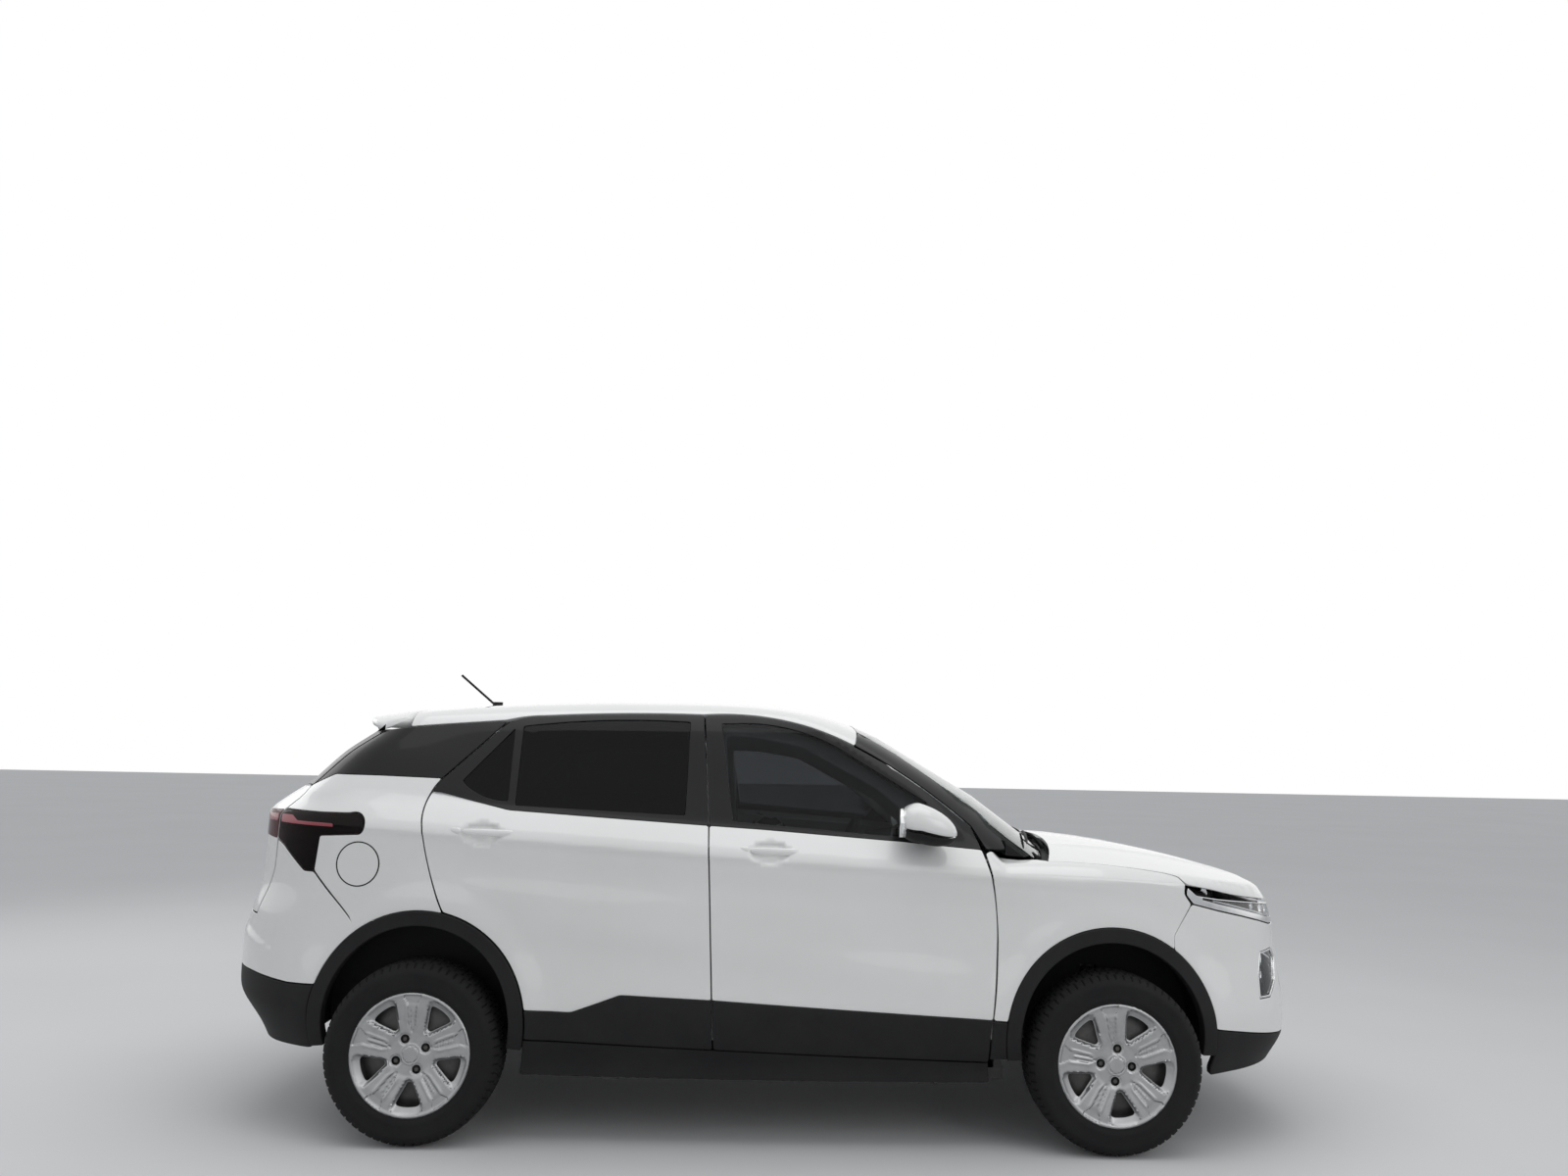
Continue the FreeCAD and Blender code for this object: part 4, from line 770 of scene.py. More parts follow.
def circle(a, b, radius, count):
    """Points round a circle."""
    turns = np.linspace(0, 2 * math.pi, count, endpoint=False)
    return np.stack([a + radius * np.cos(turns), b + radius * np.sin(turns)], 1)


def grid_faces(rows, count):
    """Faces between sections of as many points each, and one over each end."""
    faces = []
    for row in range(rows - 1):
        for k in range(count):
            n = (k + 1) % count
            faces.append((row * count + k, row * count + n, (row + 1) * count + n, (row + 1) * count + k))
    faces.append(tuple(range(count))[::-1])
    faces.append(tuple((rows - 1) * count + k for k in range(count)))
    return faces


def ring_faces(count, size):
    """Faces between rings of as many points each, the last joined to the first."""
    index = np.arange(count * size).reshape(count, size)
    after = np.roll(index, -1, 0)
    return np.stack([index, np.roll(index, -1, 1), np.roll(after, -1, 1), after], 2).reshape(-1, 4).tolist()


def lofted(name, body, sections, material):
    """A closed skin through sections that have the same number of points."""
    piece = object_from(name, np.vstack(sections), grid_faces(len(sections), len(sections[0])), material)
    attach(piece, body)
    return piece


def on_side(sections, sign):
    """Sections drawn on the right, as they are there or mirrored to the left."""
    if sign < 0:
        return sections
    return [(section * np.array([1, -1, 1]))[::-1] for section in sections]


def over_rear_arch(z):
    """Where the rear doors' edge round the wheel arch is at a height."""
    return REAR_AXLE + math.sqrt((ARCH_OUTER + GAP) ** 2 - (z - REAR_ARCH) ** 2)


# Outlines of the doors and their windows, drawn from the side as (x, z)
front_door = traced([
    (SEAM - 83, 1152), (SEAM - 14, 935, SEAM, 756), (SEAM - 7, 600, SEAM - 26, 430), (SEAM - 32, SILL - 28),
    (MID + 21, SILL + 7), (MID - 16, 1151), (MID - 52, TOP), (-10, TOP - 9, 311, 1445),
    (540, 1312, SEAM - 82, 1152.5)])
diagonal = math.sqrt(0.5) * (ARCH_OUTER + GAP)
rear_door = traced([
    (MID - 57, TOP), (MID - 21, 1151), (MID + 16, SILL + 7), (over_rear_arch(SILL + 31), SILL + 31),
    (REAR_AXLE + diagonal, REAR_ARCH + diagonal, over_rear_arch(816), 816),
    (REAR_AXLE + 36, 930, REAR_AXLE - 10, 1120), (REAR_AXLE - 18, 1190, REAR_AXLE + 28, 1295),
    (REAR_AXLE + 240, 1508), (REAR_AXLE + 310, 1535, REAR_AXLE + 386, 1541),
    (MID - 360, TOP - 1, MID - 58, TOP)])

# Belt: white below, black frame above
BELT_LINE = [(-1400, 1256), (-1264, 1250), (-1138, 1219), (-994, 1187), (-643, 1167), (-243, 1145),
             (-35, 1134), (478, 1099), (680, 1082), (900, 1064)]


def split_along(line, edge):
    """The part of a closed line under an edge and the part above it; the line crosses the edge twice."""
    xs, zs = zip(*edge)
    below = line[:, 1] <= np.interp(line[:, 0], xs, zs)
    count = len(line)
    changes = [k for k in range(count) if below[k] != below[(k + 1) % count]]
    if len(changes) != 2:
        raise RuntimeError("a door's outline has to cross the edge twice")
    cuts = []
    for k in changes:
        n = (k + 1) % count
        fa = line[k, 1] - np.interp(line[k, 0], xs, zs)
        fb = line[n, 1] - np.interp(line[n, 0], xs, zs)
        cuts.append(line[k] + (line[n] - line[k]) * fa / (fa - fb))
    k0, k1 = changes
    first = np.array([line[(k0 + 1 + j) % count] for j in range((k1 - k0) % count)])
    second = np.array([line[(k1 + 1 + j) % count] for j in range((k0 - k1) % count)])
    across = np.linspace(cuts[1][0], cuts[0][0], 60)[1:-1]
    seam = np.stack([across, np.interp(across, xs, zs)], 1)
    one = np.vstack([cuts[0][None], first, cuts[1][None], seam])
    two = np.vstack([cuts[1][None], second, cuts[0][None], seam[::-1]])
    return (one, two) if below[(k0 + 1) % count] else (two, one)


front_window = traced([
    (MID + 14, 1526), (MID + 70, 1162), (SEAM - 350, 1115), (SEAM - 245, 1239), (309, 1402),
    (100, 1500, MID + 60, 1527)])
rear_window = traced([
    (MID - 108, 1529), (MID - 108, 1179), (REAR_AXLE + 318, 1204), (REAR_AXLE + 308, 1501),
    (-770, 1524, MID - 110, 1530)])
quarter_window = traced([
    (REAR_AXLE + 276, 1492), (REAR_AXLE + 104, 1289), (REAR_AXLE + 180, 1240, REAR_AXLE + 289, 1218)])


DOOR_DEPTH = 66
EDGE_DEPTH = 6


def door_depth(hinge_x):
    """How thick a door is: thin beside its hinges, where it swings in behind the panel ahead of it."""
    def depth(place):
        return DOOR_DEPTH - (DOOR_DEPTH - EDGE_DEPTH) * step_up(place[:, 0], hinge_x - 60, hinge_x - 20)
    return depth


# The black cladding along the bottom of the doors
CLADDING_LINE = [(-1000, 485), (-886, 481), (-722, 476), (-640, 505), (-545, 540), (-209, 528), (404, 494),
                 (802, 471), (900, 466)]


for end, outline, windows in (("front", front_door, [front_window]),
                              ("rear", rear_door, [rear_window, quarter_window])):
    body = "door_%s" % end
    depth = door_depth(HINGES[end][0])
    low, high = split_along(outline, BELT_LINE)
    cladding, white = split_along(even(low, 6), CLADDING_LINE)
    skins = panel("%s_skin" % body, "side", white, body, WHITE, skin=lower_skin, depth=depth, pair=True)
    stand_for(skins, "door_%s" % end)
    panel("%s_cladding" % body, "side", cladding, body, BLACK, skin=lower_skin, depth=depth, pair=True,
          stand=5, edge=4)
    panel("%s_frame" % body, "side", high, body, GLOSS_BLACK, holes=windows, depth=30, pair=True, step=20)
    for index, window in enumerate(windows):
        panes = panel("%s_glass_%d" % (body, index + 1), "side", grown(even(window), -0.5), body,
                      TINTED_GLASS if end == "front" else DARK_GLASS,
                      depth=4, edge=0.5, stand=-4, pair=True, step=30)
        stand_for(panes, "glass_%s" % end)
    panel("%s_trim" % body, "side", grown(even(low, 9, 10), -48), body, TRIM, skin=lower_skin, depth=7,
          edge=3, stand=-68, pair=True, step=40, spacing=14)

# Front wings
SHOULDER = (90, 40)
wing_line = np.vstack([
    side_line([(SEAM + GAP - 40, 1060), (SEAM + GAP - 14, 935, SEAM + GAP, 756),
               (SEAM + GAP - 6, 600, SEAM + GAP - 21, 470), (864, 466)], SHOULDER),
    side_line(arc_points(FRONT_AXLE, FRONT_ARCH, ARCH_OUTER + 1, 170.5, 53.5), SHOULDER),
    side_line([(1499, 724), (1499, 770), (1572, 884), (1544, 922), (1549, 958), (1527, 983)], SHOULDER),
    moved(traced([(1480, -HOOD_HALF - 3), (1040 - GAP, -HOOD_HALF - GAP)], closed=False),
          "top", SHOULDER, lower_skin),
    moved(traced([(1035, -738), (1000, -722), (930, -734)], closed=False), "top", SHOULDER, lower_skin),
    side_line([(872, 1070), (815, 1068)], SHOULDER),
])
wings = panel("wing", SHOULDER, wing_line, "body", WHITE, skin=lower_skin, depth=4, pair=True)
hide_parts("front_wings")
panel("wing_foot", "side", np.vstack([
    traced([(SEAM + GAP - 21, 466), (SEAM + GAP - 26, 430), (SEAM + GAP - 32, 330), (865, 330)],
           closed=False),
    arc_points(FRONT_AXLE, FRONT_ARCH, ARCH_OUTER + 1, 190, 171)]), "body", BLACK, skin=lower_skin, depth=8,
    stand=5, edge=4, pair=True, soften=3, step=12)

# Hood
NOSE_EDGE = [(1533, 984), (1556, 957), (1592, 925), (1695, 909), (1799, 896), (1885, 885), (1975, 869)]
nose_edge = side_line(NOSE_EDGE, "top", lower_skin)
nose_front = moved(np.array([(-440, 866), (-300, 852), (-150, 842), (0, 838)]), "nose", "top", lower_skin)
hood_half = np.vstack([
    [[1040, -HOOD_HALF], [1300, -HOOD_HALF + 1], [1480, -HOOD_HALF + 2]], nose_edge, nose_front])
hood_line = np.vstack([
    traced(hood_half.tolist(), closed=False), (hood_half[::-1] * np.array([1, -1]))[1:],
    traced([(1040, HOOD_HALF), (1150, 0, 1039, -HOOD_HALF)], closed=False)[1:-1]])
hood = panel("hood_skin", "top", hood_line, "hood", WHITE, skin=lower_skin, depth=12, step=22)[0]
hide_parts("hood")

# Roof
roof_edge = side_line([
    (327, 1505), (311, 1451), (-10, TOP - 9 + GAP, MID - 52 - GAP, TOP + GAP), (MID - 64, TOP + GAP),
    (MID - 360, TOP - 1 + GAP, REAR_AXLE + 386, 1541 + GAP),
    (REAR_AXLE + 310, 1535 + GAP, REAR_AXLE + 236, 1524),
    (LID_SEAM + 7, 1492)], "top", cabin_skin)
roof = panel("roof_skin", "top", np.vstack([roof_edge, roof_edge[::-1] * np.array([1, -1])]), "body", WHITE,
             skin=cabin_skin, depth=20, step=30)[0]
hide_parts("roof_panel")

# Body sides: quarter panels, black panels behind the doors, windscreen pillars and door frames
QUARTER = (62, 0)
quarter_line = np.vstack([
    side_line([(REAR_AXLE - 15, 1120), (REAR_AXLE - 23, 1190, REAR_AXLE + 23, 1297), (-1500, 1303),
               (-1685, 1305)], QUARTER),
    moved(traced([(-617, 1262), (-646, 1172)], closed=False), "rear", QUARTER, body_skin),
    side_line([(-1700, 1167), (-1584, 1167), (-1517, 1125, -1535, 1087), (-1690, 1079), (-1704, 954),
               (-1558, 792)], QUARTER),
    side_line(arc_points(REAR_AXLE, REAR_ARCH, ARCH_OUTER + 1, 127, 79), QUARTER),
    side_line([(REAR_AXLE + 79, 813), (REAR_AXLE + 31, 930, REAR_AXLE - 15, 1120)], QUARTER),
])
quarters = panel("quarter", QUARTER, quarter_line, "body", WHITE, depth=4, pair=True)
stand_for(quarters, "body_side")
# The black panel behind each rear door, up to the roof
panel("rear_pillar", QUARTER, np.vstack([
    side_line([(REAR_AXLE + 23, 1297), (REAR_AXLE + 235, 1508 + GAP), (REAR_AXLE + 233, 1520), (-1426, 1488),
               (-1480, 1484)], QUARTER, cabin_skin),
    moved(traced([(-565, 1478), (-622, 1268)], closed=False), "rear", QUARTER, cabin_skin),
    side_line([(-1685, 1306), (-1500, 1304), (REAR_AXLE + 26, 1298)], QUARTER, cabin_skin)]),
    "body", GLOSS_BLACK, depth=6, pair=True, soften=3)

# Windscreen pillars beside the front doors
PILLAR = (105, 8)
panel("screen_pillar", PILLAR, side_line([
    (312, 1445 + GAP * 1.3), (540, 1312 + GAP * 1.3, SEAM - 83 + GAP, 1152 + GAP), (SEAM - 30, 1076),
    (SEAM + 48, 1074), (868, 1112), (790, 1206), (485, 1419), (328, 1504)], PILLAR), "body", GLOSS_BLACK,
    depth=6, pair=True, soften=3)


# Frames behind the doors: deep rings with the door openings cut out of them
SWING = 99.0
JAMB_BACK = 158


def jamb_inset(place):
    """How deep the frames lie: clear of the door's edge, which swings in round its hinge line."""
    inset = 78 - 34 * step_up(place[:, 2] + 0.06 * place[:, 0], BELT - 40, BELT + 40)
    for hinge_x, hinge_y in HINGES.values():
        reach = np.sqrt(np.maximum(SWING ** 2 - (place[:, 0] - hinge_x) ** 2, 0))
        inset = np.maximum(inset, (HALF_WIDTH - 6 - hinge_y + reach) * (reach > 0))
    return inset


def jamb_stand(place):
    return -jamb_inset(place)


def jamb_depth(place):
    return np.maximum(JAMB_BACK - jamb_inset(place), 24)


front_opening = traced([
    (SEAM - 139, SILL + 75), (SEAM - 134, 900), (SEAM - 189, BELT - 18), (400, 1300), (110, 1455),
    (-60, 1492), (MID + 36, 1497), (MID + 59, BELT + 22), (MID + 84, SILL + 75)])
rear_opening = traced([
    (MID - 106, SILL + 75), (MID - 121, BELT + 22), (MID - 141, 1497), (-600, 1500), (-860, 1480),
    (-1010, 1430), (REAR_AXLE + 105, 1265), (REAR_AXLE + 70, 1140), (REAR_AXLE + 110, 960),
    (REAR_AXLE + 190, 880), (REAR_AXLE + 330, 760), (REAR_AXLE + 430, 560), (REAR_AXLE + 460, SILL + 75)])
frame_line = np.vstack([
    traced([(845, 1070), (815, 1130), (770, 1200), (470, 1412), (330, 1482), (0, 1552), (-280, 1562),
            (-700, 1556), (-1000, 1535), (-1400, 1480), (-1400, 1000), (-1210, 820)], closed=False),
    arc_points(REAR_AXLE, REAR_ARCH, ARCH_OUTER + 1, 78, -11),
    traced([(-886, 343), (845, 343)], closed=False),
    arc_points(FRONT_AXLE, FRONT_ARCH, ARCH_OUTER + 1, 187, 178, 12),
])
panel("door_frames", "side", frame_line, "body", WHITE, holes=[front_opening, rear_opening], depth=jamb_depth,
      stand=jamb_stand, edge=8, pair=True, step=26, soften=14, spacing=14)

# Sills: a black face between the doors and the sill line
rockers = panel("rocker", "side", traced([
    (SEAM - 30, SILL - 36), (MID + 20, SILL + 1), (REAR_AXLE + 396, SILL + 24), (REAR_AXLE + 392, 300),
    (REAR_AXLE + 386, 246), (SEAM - 24, 242), (SEAM - 30, 300)]),
    "body", BLACK, depth=14, pair=True, edge=5, stand=-2)
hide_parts("sill_cladding")

# Wheel arch cladding with its lip turned into the arch
for end, axle, arch, first, last in (("front", FRONT_AXLE, FRONT_ARCH, 191, -9),
                                     ("rear", REAR_AXLE, REAR_ARCH, 194, -12)):
    ring = np.array(arc_points(axle, arch, ARCH_OUTER, last, first, 90)
                    + arc_points(axle, arch, ARCH_INNER, first + 1, last - 1, 80))
    rings = panel("%s_arch_cladding" % end, "side", ring, "body", BLACK, skin=lower_skin, depth=34, edge=5,
                  stand=6, pair=True, step=14)
    if end == "front":
        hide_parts("arch_cladding")

# Front bumper
LAMP_LOW = [(1580, 883), (1691, 855), (1792, 832), (1894, 806), (1970, 783)]
seam_up = side_line(arc_points(FRONT_AXLE, FRONT_ARCH, ARCH_OUTER + 1, 5, 53.2)
                    + [(1500, 770), (1520, 800), (1572, 878)], "nose", lower_skin)
lamp_edge = side_line(LAMP_LOW, "nose", lower_skin)
low_edge = side_line([(1990, 379), (1660, 434)], "nose", lower_skin)
bumper_line = both_sides(np.vstack([
    [[0, 364], [-100, 366]], low_edge, seam_up, lamp_edge, [[-60, 760], [0, 758]]]))
grille_hole = moved(traced([(-430, 655), (-480, 560), (-420, 420), (420, 420), (480, 560), (430, 655)]),
                    "front", "nose", lower_skin)
fog_hole = side_line([(1893, 692), (1870, 612), (1868, 522), (1934, 520), (1982, 572), (2003, 655),
                      (1972, 696), (1893, 692)], "nose", lower_skin)[:-1]
bumper = panel("front_bumper_skin", "nose", bumper_line, "body", WHITE,
               holes=[grille_hole, fog_hole, fog_hole * np.array([-1, 1])], skin=lower_skin, depth=4)[0]
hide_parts("front_bumper")
valance_low = side_line([(1985, 262), (1650, 255)], "nose", lower_skin)
valance_half = np.vstack([
    [[0, 262]], valance_low,
    side_line(arc_points(FRONT_AXLE, FRONT_ARCH, ARCH_OUTER + 1, -17, 4.4) + [(1990, 375)], "nose", lower_skin),
    [[0, 360]]])
valance = panel("front_valance_skin", "nose", both_sides(valance_half), "body", BLACK, skin=lower_skin,
                depth=20, edge=6, stand=-1)[0]
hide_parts("front_valance")

# Rear bumper
tail_seam = side_line([(-1708, 947), (-1560, 787)], "tail")
tail_arch = side_line(arc_points(REAR_AXLE, REAR_ARCH, ARCH_OUTER + 1, 126, 161), "tail")
tail_low = side_line([(-1668, 549), (-1780, 549), (-1960, 570)], "tail")
lid_corner = moved(traced([(-604, 770), (-647, 950), (-648, 1052)], closed=False), "rear", "tail", lower_skin)
lamp_foot = side_line([(-1857, 1035), (-1750, 948)], "tail")
rear_half = np.vstack([[[0, 770]], lid_corner, lamp_foot, tail_seam, tail_arch, tail_low, [[0, 588]]])
rear_skin = panel("rear_bumper_skin", "tail", both_sides(rear_half), "body", WHITE, skin=lower_skin,
                  depth=4)[0]
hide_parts("rear_bumper")
low_half = np.vstack([[[0, 584]], side_line([(-1960, 566), (-1780, 545), (-1668, 545)], "tail"),
                      side_line(arc_points(REAR_AXLE, REAR_ARCH, ARCH_OUTER + 1, 162, 195), "tail"),
                      side_line([(-1690, 312), (-1900, 304)], "tail"), [[0, 304]]])
rear_foot = panel("rear_valance_skin", "tail", both_sides(low_half), "body", BLACK, skin=lower_skin,
                  depth=20, edge=6)[0]
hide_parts("rear_valance")

# Tailgate
lid_half = traced([(0, LID_LOW), (-600, LID_LOW), (-642, 950), (-642, 1170), (-612, 1265), (-604, 1290)],
                  closed=False)
lid_lower = np.vstack([lid_half[:-4], traced([(-616, 1256), (-566, 1254), (0, 1250)], closed=False)])
lid_lamp = traced([(-641, 1168), (-641, 1058), (-420, 1075), (-420, 1160)])
lid = panel("tailgate_skin", "rear", both_sides(lid_lower), "tailgate", WHITE, skin=body_skin, depth=34,
            edge=3, step=22)[0]
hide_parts("tailgate")
lid_frame = both_sides(traced([(0, 1262), (-618, 1262), (-560, 1478), (0, 1488)], closed=False))
lid_window = traced([(-500, 1468), (-566, 1276), (566, 1276), (500, 1468)])
panel("tailgate_frame", "rear", lid_frame, "tailgate", GLOSS_BLACK, holes=[lid_window], skin=cabin_skin,
      depth=30, step=22)
pane = panel("tailgate_pane", "rear", grown(even(lid_window), -0.5), "tailgate", DARK_GLASS, skin=cabin_skin,
             depth=4, edge=0.5, stand=-4, step=40)[0]
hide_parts("tailgate_glass")

# Spoiler over the tailgate glass: cross-sections from side to side, each a closed line seen from the side
SPOILER_HALF = 556


def roof_at(x, y):
    return float(cap_height(ROOF_PROFILE, ROOF_HEIGHT, ROOF_CROWN, np.array([x]), np.array([y]))[0])


sections = []
for y in np.linspace(-SPOILER_HALF, SPOILER_HALF, 61):
    share = abs(y) / SPOILER_HALF
    tail = -1648 + 34 * share ** 3 + 60 * share ** 14
    drop = 30 * share ** 10
    top_front = roof_at(-1428, y) - drop * 0.6
    top_back = roof_at(tail + 20, y) - 5 - drop
    line = traced([
        (LID_SEAM - 4, top_front - 1),
        ((LID_SEAM + tail) / 2, (top_front + top_back) / 2 + 1, tail + 16, top_back),
        (tail, top_back - 12, tail + 14, top_back - 24), (-1590 + 20 * share, top_back - 30),
        (LID_SEAM - 92, 1486 + 8 * (1 - share)), (LID_SEAM - 4, 1482)], step=500)
    sections.append(np.stack([line[:, 0], np.full(len(line), y), line[:, 1]], 1))
lofted("spoiler", "tailgate", sections, WHITE)

# Tail lamps
TAIL = (48, 0)
lamp_line = np.vstack([
    side_line([(-1745, 953), (-1705, 953), (-1690, 1080), (-1538, 1091), (-1523, 1125, -1584, 1163),
               (-1760, 1166)], TAIL),
    moved(traced([(-645, 1166), (-645, 1062)], closed=False), "rear", TAIL, lower_skin),
    side_line([(-1852, 1040), (-1745, 953)], TAIL)[:-1],
])
tails = panel("tail_lamp_lens", TAIL, lamp_line, "body", SMOKED_LENS, depth=3, edge=1.5, pair=True, step=12)
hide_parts("tail_lamps")
lid_lenses = panel("tailgate_lamp_lens", "rear", lid_lamp, "tailgate", SMOKED_LENS, depth=3, edge=1.5,
                   pair=True, step=16, stand=2)
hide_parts("tailgate_lamps")

# Wheels: a cover with five spokes over a steel wheel, on the same centres as the CAD wheels
WHEEL_FACE = 843
COVER = 220
COVER_STEP = 4.8
SPOKES = 5
LUGS = 4
LUG_CIRCLE = 57
LUG_HOLE = 17
COVER_WINDOW = [
    (85, -11), (85, 11), (150, 45), (182, 60), (203, 47), (207, 0, 203, -47), (182, -60), (150, -45)]
COVER_OPENING = [
    (97, -8), (97, 8), (150, 36), (172, 46), (179, 38), (184, 0, 179, -38), (172, -46), (150, -36)]


def turned(points, degrees):
    """Flat points turned about the middle."""
    a = math.radians(degrees)
    c, s = math.cos(a), math.sin(a)
    points = np.asarray(points, float)
    return np.stack([points[:, 0] * c - points[:, 1] * s, points[:, 0] * s + points[:, 1] * c], 1)


window_edge = even(traced(COVER_WINDOW, step=4), 4, 9)
opening_edge = even(traced(COVER_OPENING, step=4), 4, 8)


def cover_height(points, lug_turn):
    """Height of the cover's face above its plane, at points around the wheel's centre."""
    r = np.hypot(points[:, 0], points[:, 1])
    turn = np.degrees(np.arctan2(points[:, 1], points[:, 0]))
    height = -13 + 13 * step_up(r, 60, 205) + 2.5 * (1 - step_up(r, 26, 29)) - 1.5 * bell(r, 30, 2.2)
    height -= 2.0 * step_up(r, 34, 40) * (1 - step_up(r, 72, 90))
    folded = (turn + 36) % 72 - 36
    a, b = r * np.cos(np.radians(folded)), r * np.sin(np.radians(folded))
    flat = np.stack([a, b], 1)
    inside = inside_of(flat, window_edge)
    out_of = distance_to(flat, window_edge)
    into = distance_to(flat, opening_edge)
    wall = np.where(inside, out_of / np.maximum(out_of + into, 1e-6), 0)
    wall[inside_of(flat, opening_edge)] = 1
    height -= 17 * wall ** 0.8
    height -= 2.0 * np.where(inside, 0, 1 - step_up(out_of, 0, 5)) * (1 - step_up(r, 196, 208))
    spoke = (turn + 72) % 72 - 36
    u, v = r * np.cos(np.radians(spoke)), np.abs(r * np.sin(np.radians(spoke)))
    half = 4 + 8 * step_up(u, 74, 110) + 3 * step_up(u, 110, 165) + 17 * step_up(u, 168, 204)
    channel = (1 - step_up(v, half - 2.0, half + 1.5)) * step_up(u, 72, 82) * (1 - step_up(u, 205, 210))
    height -= (4.5 + 2.5 * step_up(u, 165, 185)) * channel
    height += 1.6 * (1 - step_up(v, 3.0, 5.0)) * step_up(u, 84, 95) * (1 - step_up(u, 150, 168))
    height += 2.5 * bell(v, half + 7, 5) * step_up(u, 80, 105) * (1 - step_up(u, 165, 185))
    height += 3 * bell(r, 210, 6)
    height -= 6 * step_up(r, 214, 222)
    for a, b in lug_places(lug_turn):
        lug = np.hypot(points[:, 0] - a, points[:, 1] - b)
        height -= 3.0 * (1 - step_up(lug, LUG_HOLE + 2, LUG_HOLE + 7))
    return height


def lug_places(lug_turn):
    """The middles of the bolt holes around the wheel's centre."""
    turns = [math.radians(lug_turn + 360 / LUGS * k) for k in range(LUGS)]
    return [(LUG_CIRCLE * math.cos(a), LUG_CIRCLE * math.sin(a)) for a in turns]


def cover_shape(x, window_turn, lug_turn):
    """A wheel cover on the right side: its points, their normals and its faces."""
    lug_turn -= window_turn
    windows = [turned(opening_edge, 360 / SPOKES * k) for k in range(SPOKES)]
    holes = [circle(a, b, LUG_HOLE, 24) for a, b in lug_places(lug_turn)]
    flat, faces, loops = filled(circle(0, 0, COVER, 159), windows + holes, COVER_STEP)
    height = cover_height(flat, lug_turn)
    d = 0.7
    slopes = [(cover_height(flat + way, lug_turn) - cover_height(flat - way, lug_turn)) / (2 * d)
              for way in (np.array([d, 0]), np.array([0, d]))]
    slope = turned(np.stack(slopes, 1), window_turn)
    flat = turned(flat, window_turn)
    place = np.stack([x + flat[:, 0], -(WHEEL_FACE + height), WHEEL_HEIGHT + flat[:, 1]], 1)
    normals = np.stack([-slope[:, 0], -np.ones(len(flat)), -slope[:, 1]], 1)
    normals /= np.linalg.norm(normals, axis=1)[:, None]
    straight = np.broadcast_to(np.array([0.0, -1.0, 0.0]), normals.shape)
    points, shading, solid = shell(place, straight, faces, loops, 5, 1.2)
    shading[:len(place)] = normals
    return points, shading, solid


def revolved(name, body, profile, x, sign, material, count=96, z=WHEEL_HEIGHT):
    """A closed ring from a closed profile of (radius, |y|)."""
    radius, out = np.asarray(profile, float).T
    turns = np.linspace(0, 2 * math.pi, count, endpoint=False)
    rings = [np.stack([x + radius * math.cos(t), sign * out, z + radius * math.sin(t)], 1) for t in turns]
    return closed_rings(name, body, rings, material, sign)


def closed_rings(name, body, rings, material, sign):
    """A closed piece through rings that follow one another round the wheel's axis."""
    faces = ring_faces(len(rings), len(rings[0]))
    if sign > 0:
        faces = [f[::-1] for f in faces]
    piece = object_from(name, np.vstack(rings), faces, material)
    piece.data.set_sharp_from_angle(angle=math.radians(38))
    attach(piece, body)
    return piece


BEAD = 214
TREAD_BLOCKS = 64
tyre_profile = even(traced([
    (224, 846), (232, 850.5), (268, 852), (292, 849, 306, 838), (314, 824, 318, 800), (320, 750, 318, 700),
    (314, 676, 306, 662), (292, 651, 268, 648), (232, 649), (222, 654), (212, 660), (212, 840)], step=3), 5.2)
tyre_profile = tyre_profile[tyre_profile[:, 0] > BEAD]
# The inner side is less seen, so half of its points are enough
inner_wall = (tyre_profile[:, 1] < 700) & (tyre_profile[:, 0] < 296)
tyre_profile = tyre_profile[~inner_wall | (np.arange(len(tyre_profile)) % 2 == 0)]
if area_of(tyre_profile) < 0:
    tyre_profile = tyre_profile[::-1]


def tyre_rings(x, sign):
    """The tyre's section all the way round, with its grooves and the cuts between its blocks."""
    radius, width = tyre_profile.T
    offset = width - 750
    tread = step_up(radius, 298, 308)
    groove = np.maximum.reduce([bell(offset, c, 4.5) for c in (-52, -18, 18, 52)]) * (np.abs(offset) < 80)
    rib = 0.8 * bell(radius, 286, 4) + 0.9 * bell(radius, 240, 3) + 0.5 * bell(radius, 262, 2.5)
    y = width + np.sign(offset) * rib * (radius > 228)
    rings = []
    for k in range(TREAD_BLOCKS * 6):
        t = 2 * math.pi * k / (TREAD_BLOCKS * 6)
        phase = k % 6
        shoulder = (np.abs(offset) > 56) * (1.0 if phase == 0 else 0.0)
        middle = (np.abs(np.abs(offset) - 35) < 12) * (1.0 if phase == 3 else 0.0)
        centre = (np.abs(offset) < 12) * (1.0 if phase in (0, 3) else 0.0) * 0.6
        cut = np.maximum.reduce([groove, shoulder, middle, centre]) * tread
        r = radius - 6.5 * cut
        rings.append(np.stack([x + r * math.cos(t), sign * y, WHEEL_HEIGHT + r * math.sin(t)], 1))
    return rings


barrel_profile = [
    (217, 842), (219, 838), (212, 832), (203, 824), (196, 806), (192, 760), (180, 752), (176, 700),
    (196, 684), (203, 668), (214, 658), (218, 652), (214, 650), (198, 664), (190, 680), (170, 698),
    (174, 758), (186, 766), (190, 808), (199, 828), (211, 838)]
disc_profile = [(40, 808), (78, 806), (110, 796), (150, 800), (180, 786), (193, 784), (193, 779), (178, 780),
                (150, 793), (108, 788), (76, 798), (40, 800)]

nut_profile = [(0.5, 826), (7, 826), (9, 823), (9, 806), (0.5, 806)]

